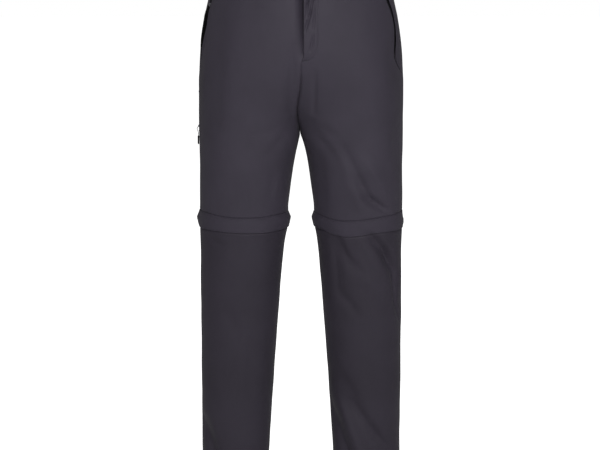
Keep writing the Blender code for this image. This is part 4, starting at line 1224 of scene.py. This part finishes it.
hand_heights = rows_between(TAPE_TOP, HAND_ZIP_END, 4 * MM)
for leg in (LEFT, RIGHT):
    side = side_name[leg]
    tape("hand_tape_" + side, leg, hand_heights, hand_tape_columns, TAPE_DEPTH, "hand_pocket_zip_" + side)
    coil("hand_coil_" + side, leg, run_down(leg, coil_line, ROW_TOP, -200 * MM, 40), COIL_DEPTH)
    z = HAND_SLIDER_Z[leg]
    u, lean = coil_line(leg, z), (coil_line(leg, z + 3 * MM) - coil_line(leg, z)) / (3 * MM)
    pocket_slider("hand_slider_" + side, seat(leg, u, z, -SLIDER_BASE, lean), "hand_pocket_slider_" + side)
    pin = seat(leg, u, z, PIN_RISE - SLIDER_BASE, lean)
    pull_tab("hand_pull_tab_" + side, pin, "hand_pocket_pull_" + side, "hand_pull_" + side)

# Thigh pocket zip
# The same coil and tape in the right side seam, nearly closed. Its pull is a moulded loop that
# bows out from the slider's pin and ends in a thick ribbed grip.

THIGH_SLIDER_Z = -337 * MM
Section = namedtuple("Section", "y half low high")
LOOP_LINE = [
    (0.0, 0.0), (-1.5, 1.1), (-3.6, 2.4), (-6.0, 3.0), (-8.4, 2.5), (-10.8, 1.2), (-14.0, 0.3), (-20.8, 0.4),
]
STRAND_HALF, STRAND_AT = 0.6, 0.62
GRIP_START = [Section(-19.4, 0.8, -0.4, 1.0), Section(-20.0, 1.9, -1.0, 1.7), Section(-21.0, 2.3, -1.2, 2.1)]
GRIP_END = [Section(-35.8, 2.1, -1.1, 1.8), Section(-36.8, 1.2, -0.8, 1.0)]
RIB_FIRST, RIB_STEP, RIB_COUNT = -22.6, 2.1, 6


def thigh_tape_columns(leg, z):
    """Places across the slit in the side seam and under the cloth on both sides of it."""
    half = side_slit(leg, z)
    return np.linspace(-half - TAPE_LAP, half + TAPE_LAP, 12)


thigh_heights = rows_between(THIGH_ZIP_TOP + 8 * MM, THIGH_ZIP_END - 6.5 * MM, 4 * MM)
tape("thigh_tape", RIGHT, thigh_heights, thigh_tape_columns, TAPE_DEPTH, "thigh_pocket_zip")
coil("thigh_coil", RIGHT, [(0.0, THIGH_ZIP_TOP), (0.0, THIGH_ZIP_END)], COIL_DEPTH)
pocket_slider("thigh_slider", seat(RIGHT, 0.0, THIGH_SLIDER_Z, -SLIDER_BASE), "thigh_pocket_slider")


def lofted(name, sections, place, material, sides=20):
    """A rounded bar: each section gives y, half the width, and its back and front heights."""
    bm = bmesh.new()
    rings = []
    for y, half, low, high in sections:
        turn = np.arange(sides) * 2 * pi / sides
        x = half * MM * np.sign(np.cos(turn)) * np.abs(np.cos(turn)) ** 0.6
        z = (low + high) / 2 + (high - low) / 2 * np.sign(np.sin(turn)) * np.abs(np.sin(turn)) ** 0.6
        rings.append([bm.verts.new((a, y * MM, b * MM)) for a, b in zip(x, z)])
    for here, beyond in zip(rings, rings[1:]):
        for i in range(sides):
            j = (i + 1) % sides
            bm.faces.new((here[i], here[j], beyond[j], beyond[i]))
    bm.faces.new(rings[0][::-1])
    bm.faces.new(rings[-1])
    bmesh.ops.recalc_face_normals(bm, faces=bm.faces)
    bm.transform(place)
    return piece_of(name, mesh_of(bm, name), material)


thigh_pin = seat(RIGHT, 0.0, THIGH_SLIDER_Z, PIN_RISE - SLIDER_BASE)
parts = [rod("barrel", BARREL_HALF, 0, 0, BARREL_RADIUS, thigh_pin, pull_moulded)]
strand = [Section(y, STRAND_HALF, z - STRAND_HALF, z + STRAND_HALF) for y, z in LOOP_LINE]
for x in (-STRAND_AT, STRAND_AT):
    parts.append(lofted("strand", strand, thigh_pin @ Matrix.Translation((x * MM, 0, 0)), pull_moulded, 12))
ribs = []
for i in range(RIB_COUNT):
    y = RIB_FIRST - i * RIB_STEP
    ribs += [Section(y, 2.3, -1.2, 2.1), Section(y - 0.35, 2.1, -1.0, 1.8)]
    ribs += [Section(y - 0.9, 2.1, -1.0, 1.8), Section(y - 1.25, 2.3, -1.2, 2.1)]
parts.append(lofted("grip", GRIP_START + ribs + GRIP_END, thigh_pin, pull_moulded))
stands_for(joined("thigh_pull_loop", parts), "thigh_pocket_pull", "thigh_pull")

# Fly zip
# Hidden behind the left front's lap: a tape with its coil, and a plain locking slider at the top.

FLY_TAPE = np.linspace(13, 34, 10) * MM
FLY_TAPE_DEPTH, FLY_COIL, FLY_SLIDER_Z = 6.2 * MM, 19 * MM, -52 * MM
FLY_PLATE = in_mm([(-3.3, 4.5), (-3.3, 0.5), (-2.4, -4.5), (2.4, -4.5), (3.3, 0.5), (3.3, 4.5)])


def fly_columns(leg, z):
    """Places across the fly's tape, beside the middle of the front."""
    return FLY_TAPE - round_leg(FRONT, z)


def fly_line(leg, z):
    """The middle of the fly's coil."""
    return FLY_COIL - round_leg(FRONT, z)


fly_heights = rows_between(WAIST_SEAM, HAND_ZIP_END, 5 * MM)
tape("fly_tape", LEFT, fly_heights, fly_columns, FLY_TAPE_DEPTH, "fly_zip")
coil("fly_coil", LEFT, run_down(LEFT, fly_line, ROW_TOP, -196 * MM, 30), FLY_TAPE_DEPTH - 0.2 * MM)
base = seat(LEFT, fly_line(LEFT, FLY_SLIDER_Z), FLY_SLIDER_Z, -FLY_TAPE_DEPTH + 0.7 * MM)
slider = flat_piece("fly_slider_body", rounded(FLY_PLATE, MM), 0, MM, base, slider_paint)
stands_for(slider, "fly_slider")

# Leg zips
# A coil zip right round each knee under its flap joins the upper part to the lower leg. The
# slider is at the side seam, where the flap bulges over it.

LEG_TAPE_REACH = 10 * MM
LEG_PLATE = in_mm([(-4.5, 3.4), (-4.5, -3.4), (1.0, -3.4), (4.5, -2.4), (4.5, 2.4), (1.0, 3.4)])


def leg_tape_columns(leg, z):
    """Places right round the leg."""
    return round_shares(64) * np.where(round_shares(64) <= 0, round_leg(FRONT, z), round_leg(BACK, z))


leg_tape_heights = np.linspace(KNEE_ZIP + LEG_TAPE_REACH, KNEE_ZIP - LEG_TAPE_REACH, 7)
for leg in (LEFT, RIGHT):
    side = side_name[leg]
    node = "knee_zip_" + side
    tape("leg_tape_" + side, leg, leg_tape_heights, leg_tape_columns, TAPE_DEPTH, node, round_knee)
    coil("leg_coil_" + side, leg, ring(KNEE_ZIP), TAPE_DEPTH - 1.3 * MM)
    base = seat(leg, 0.0, KNEE_ZIP, 0.3 * MM)
    plate = rounded(LEG_PLATE, 1.2 * MM)
    slider = flat_piece("leg_slider_" + side, plate, 0, 1.3 * MM, base, slider_paint, 0.35 * MM)
    stands_for(slider, "knee_slider_" + side)

# Waist button
# A dark polished plastic button with a raised rim and four holes, sewn through the band's right
# end and pushed through the buttonhole in the left one.

BUTTON_Z, BUTTON_IN, HOLE_AT, HOLE_RADIUS = -BAND_HEIGHT / 2, 14 * MM, 1.4 * MM, 0.75 * MM
BUTTON_LINE = in_mm([
    (0.0, 0.0), (5.2, 0.0), (7.6, 0.5), (8.4, 1.2), (8.5, 1.9), (8.2, 2.6), (7.6, 2.95), (6.9, 2.9),
    (6.2, 2.4), (5.4, 2.0), (3.0, 1.85), (0.0, 1.8),
])
button_u = FLY_EDGE + BUTTON_IN - round_leg(FRONT, BUTTON_Z)
button_place = seat(LEFT, button_u, BUTTON_Z, BAND_PROUD + 0.45 * MM)
button_finish = dyed("dark_button", (0.026, 0.025, 0.030), 0.36, 0, 260, 0.01 * MM, 0.15)
bm = bmesh.new()
profile = [bm.verts.new((x, 0, z)) for x, z in BUTTON_LINE]
lines = [bm.edges.new(pair) for pair in zip(profile, profile[1:])]
spun = dict(cent=(0, 0, 0), axis=(0, 0, 1), angle=2 * pi, steps=48, use_duplicate=False)
bmesh.ops.spin(bm, geom=profile + lines, **spun)
bmesh.ops.remove_doubles(bm, verts=bm.verts, dist=1e-6)
bmesh.ops.recalc_face_normals(bm, faces=bm.faces)
blank = piece_of("button_blank", mesh_of(bm, "button_blank"), button_finish)
holes = []
for x, y in ((-HOLE_AT, -HOLE_AT), (HOLE_AT, -HOLE_AT), (HOLE_AT, HOLE_AT), (-HOLE_AT, HOLE_AT)):
    upright = Matrix.Translation((x, y, 1.5 * MM)) @ Matrix.Rotation(pi / 2, 4, "Y")
    holes.append(rod("hole", 2.5 * MM, 0, 0, HOLE_RADIUS, upright, button_finish))
drill = joined("drill", holes)
drilled = blank.modifiers.new("holes", "BOOLEAN")
drilled.object = drill
drilled.solver = "EXACT"
bpy.context.view_layer.update()
mesh = bpy.data.meshes.new_from_object(blank.evaluated_get(bpy.context.evaluated_depsgraph_get()))
for done in (blank, drill):
    bpy.data.objects.remove(done)
mesh.transform(button_place)
stands_for(piece_of("button", mesh, button_finish, 50), "waist_button")
sewn = []
for x in (-1.65, -1.15, 1.15, 1.65):
    start, end = (np.array([button_place @ Vector((x * MM, y * MM, 1.75 * MM))]) for y in (-1.5, 1.5))
    sewn.append((start, end, np.array([button_place.col[2].to_3d()])))
threads("button_thread", sewn, 0.5 * MM, thread_finish_groove_shade)
hole_rows = []
for z in (BUTTON_Z - 1.2 * MM, BUTTON_Z + 1.2 * MM):
    edge = [(button_u + along * MM, z) for along in (-12.5, 1.0)]
    hole_rows.append(crossing(trace(LEFT, edge, None, BAND_PROUD + 0.2 * MM, MM), 1.1 * MM, 0.5 * MM))
threads("buttonhole_stitches", hole_rows, 0.55 * MM, thread_finish_groove_shade)

# Stage
# A plain pale floor under the hems, a white room and soft boxes.

FLOOR_DROP, FLOOR_RADIUS, ROOM_LIGHT = 14 * MM, 40, 0.16
pale = bpy.data.materials.new("pale_floor")
pale.use_nodes = True
shader = pale.node_tree.nodes["Principled BSDF"]
shader.inputs["Base Color"].default_value = (0.82, 0.82, 0.82, 1)
shader.inputs["Roughness"].default_value = 0.9
shader.inputs["Emission Color"].default_value = (1, 1, 1, 1)
seen = add_node(pale.node_tree, "LightPath", {})
pale.node_tree.links.new(seen.outputs["Is Camera Ray"], shader.inputs["Emission Strength"])
bm = bmesh.new()
bmesh.ops.create_circle(bm, cap_ends=True, segments=64, radius=FLOOR_RADIUS)
floor = piece_of("floor", mesh_of(bm, "floor"), pale)
floor.location.z = HEM - FLOOR_DROP

world = bpy.data.worlds.new("white_room")
world.use_nodes = True
background = world.node_tree.nodes["Background"]
background.inputs["Color"].default_value = (1, 1, 1, 1)
seen = add_node(world.node_tree, "LightPath", {}).outputs["Is Camera Ray"]
level = add_node(world.node_tree, "MapRange", {"Value": seen, "To Min": ROOM_LIGHT, "To Max": 1.0})
world.node_tree.links.new(level.outputs["Result"], background.inputs["Strength"])
bpy.context.scene.world = world

AIM = Vector((-0.0022, 0.0, -0.536))
SoftBox = namedtuple("SoftBox", "name place size power")
for box in (
    SoftBox("key_box", (0.4, -3.3, 1.3), 1.3, 72),
    SoftBox("right_box", (2.0, -2.2, 0.5), 1.2, 12),
    SoftBox("left_box", (-1.7, -2.4, 0.3), 1.2, 9),
    SoftBox("left_rim", (-2.4, 0.9, 0.4), 1.2, 1.5),
    SoftBox("back_box", (0.0, 3.4, 1.9), 1.4, 36),
):
    light = bpy.data.lights.new(box.name, "AREA")
    light.size = box.size
    light.energy = box.power
    lamp = bpy.data.objects.new(box.name, light)
    lamp.location = box.place
    lamp.rotation_euler = (AIM - lamp.location).to_track_quat("-Z", "Y").to_euler()
    bpy.context.scene.collection.objects.link(lamp)

CAMERA_FAR, CAMERA_RISE = 3.6, radians(8)
lens = bpy.data.cameras.new("camera")
lens.sensor_width = 36
lens.lens = 108
camera = bpy.data.objects.new("camera", lens)
camera.location = AIM + Vector((0, -cos(CAMERA_RISE), sin(CAMERA_RISE))) * CAMERA_FAR
camera.rotation_euler = (AIM - camera.location).to_track_quat("-Z", "Y").to_euler()
bpy.context.scene.collection.objects.link(camera)
bpy.context.scene.camera = camera
bpy.context.scene.view_settings.view_transform = "Standard"
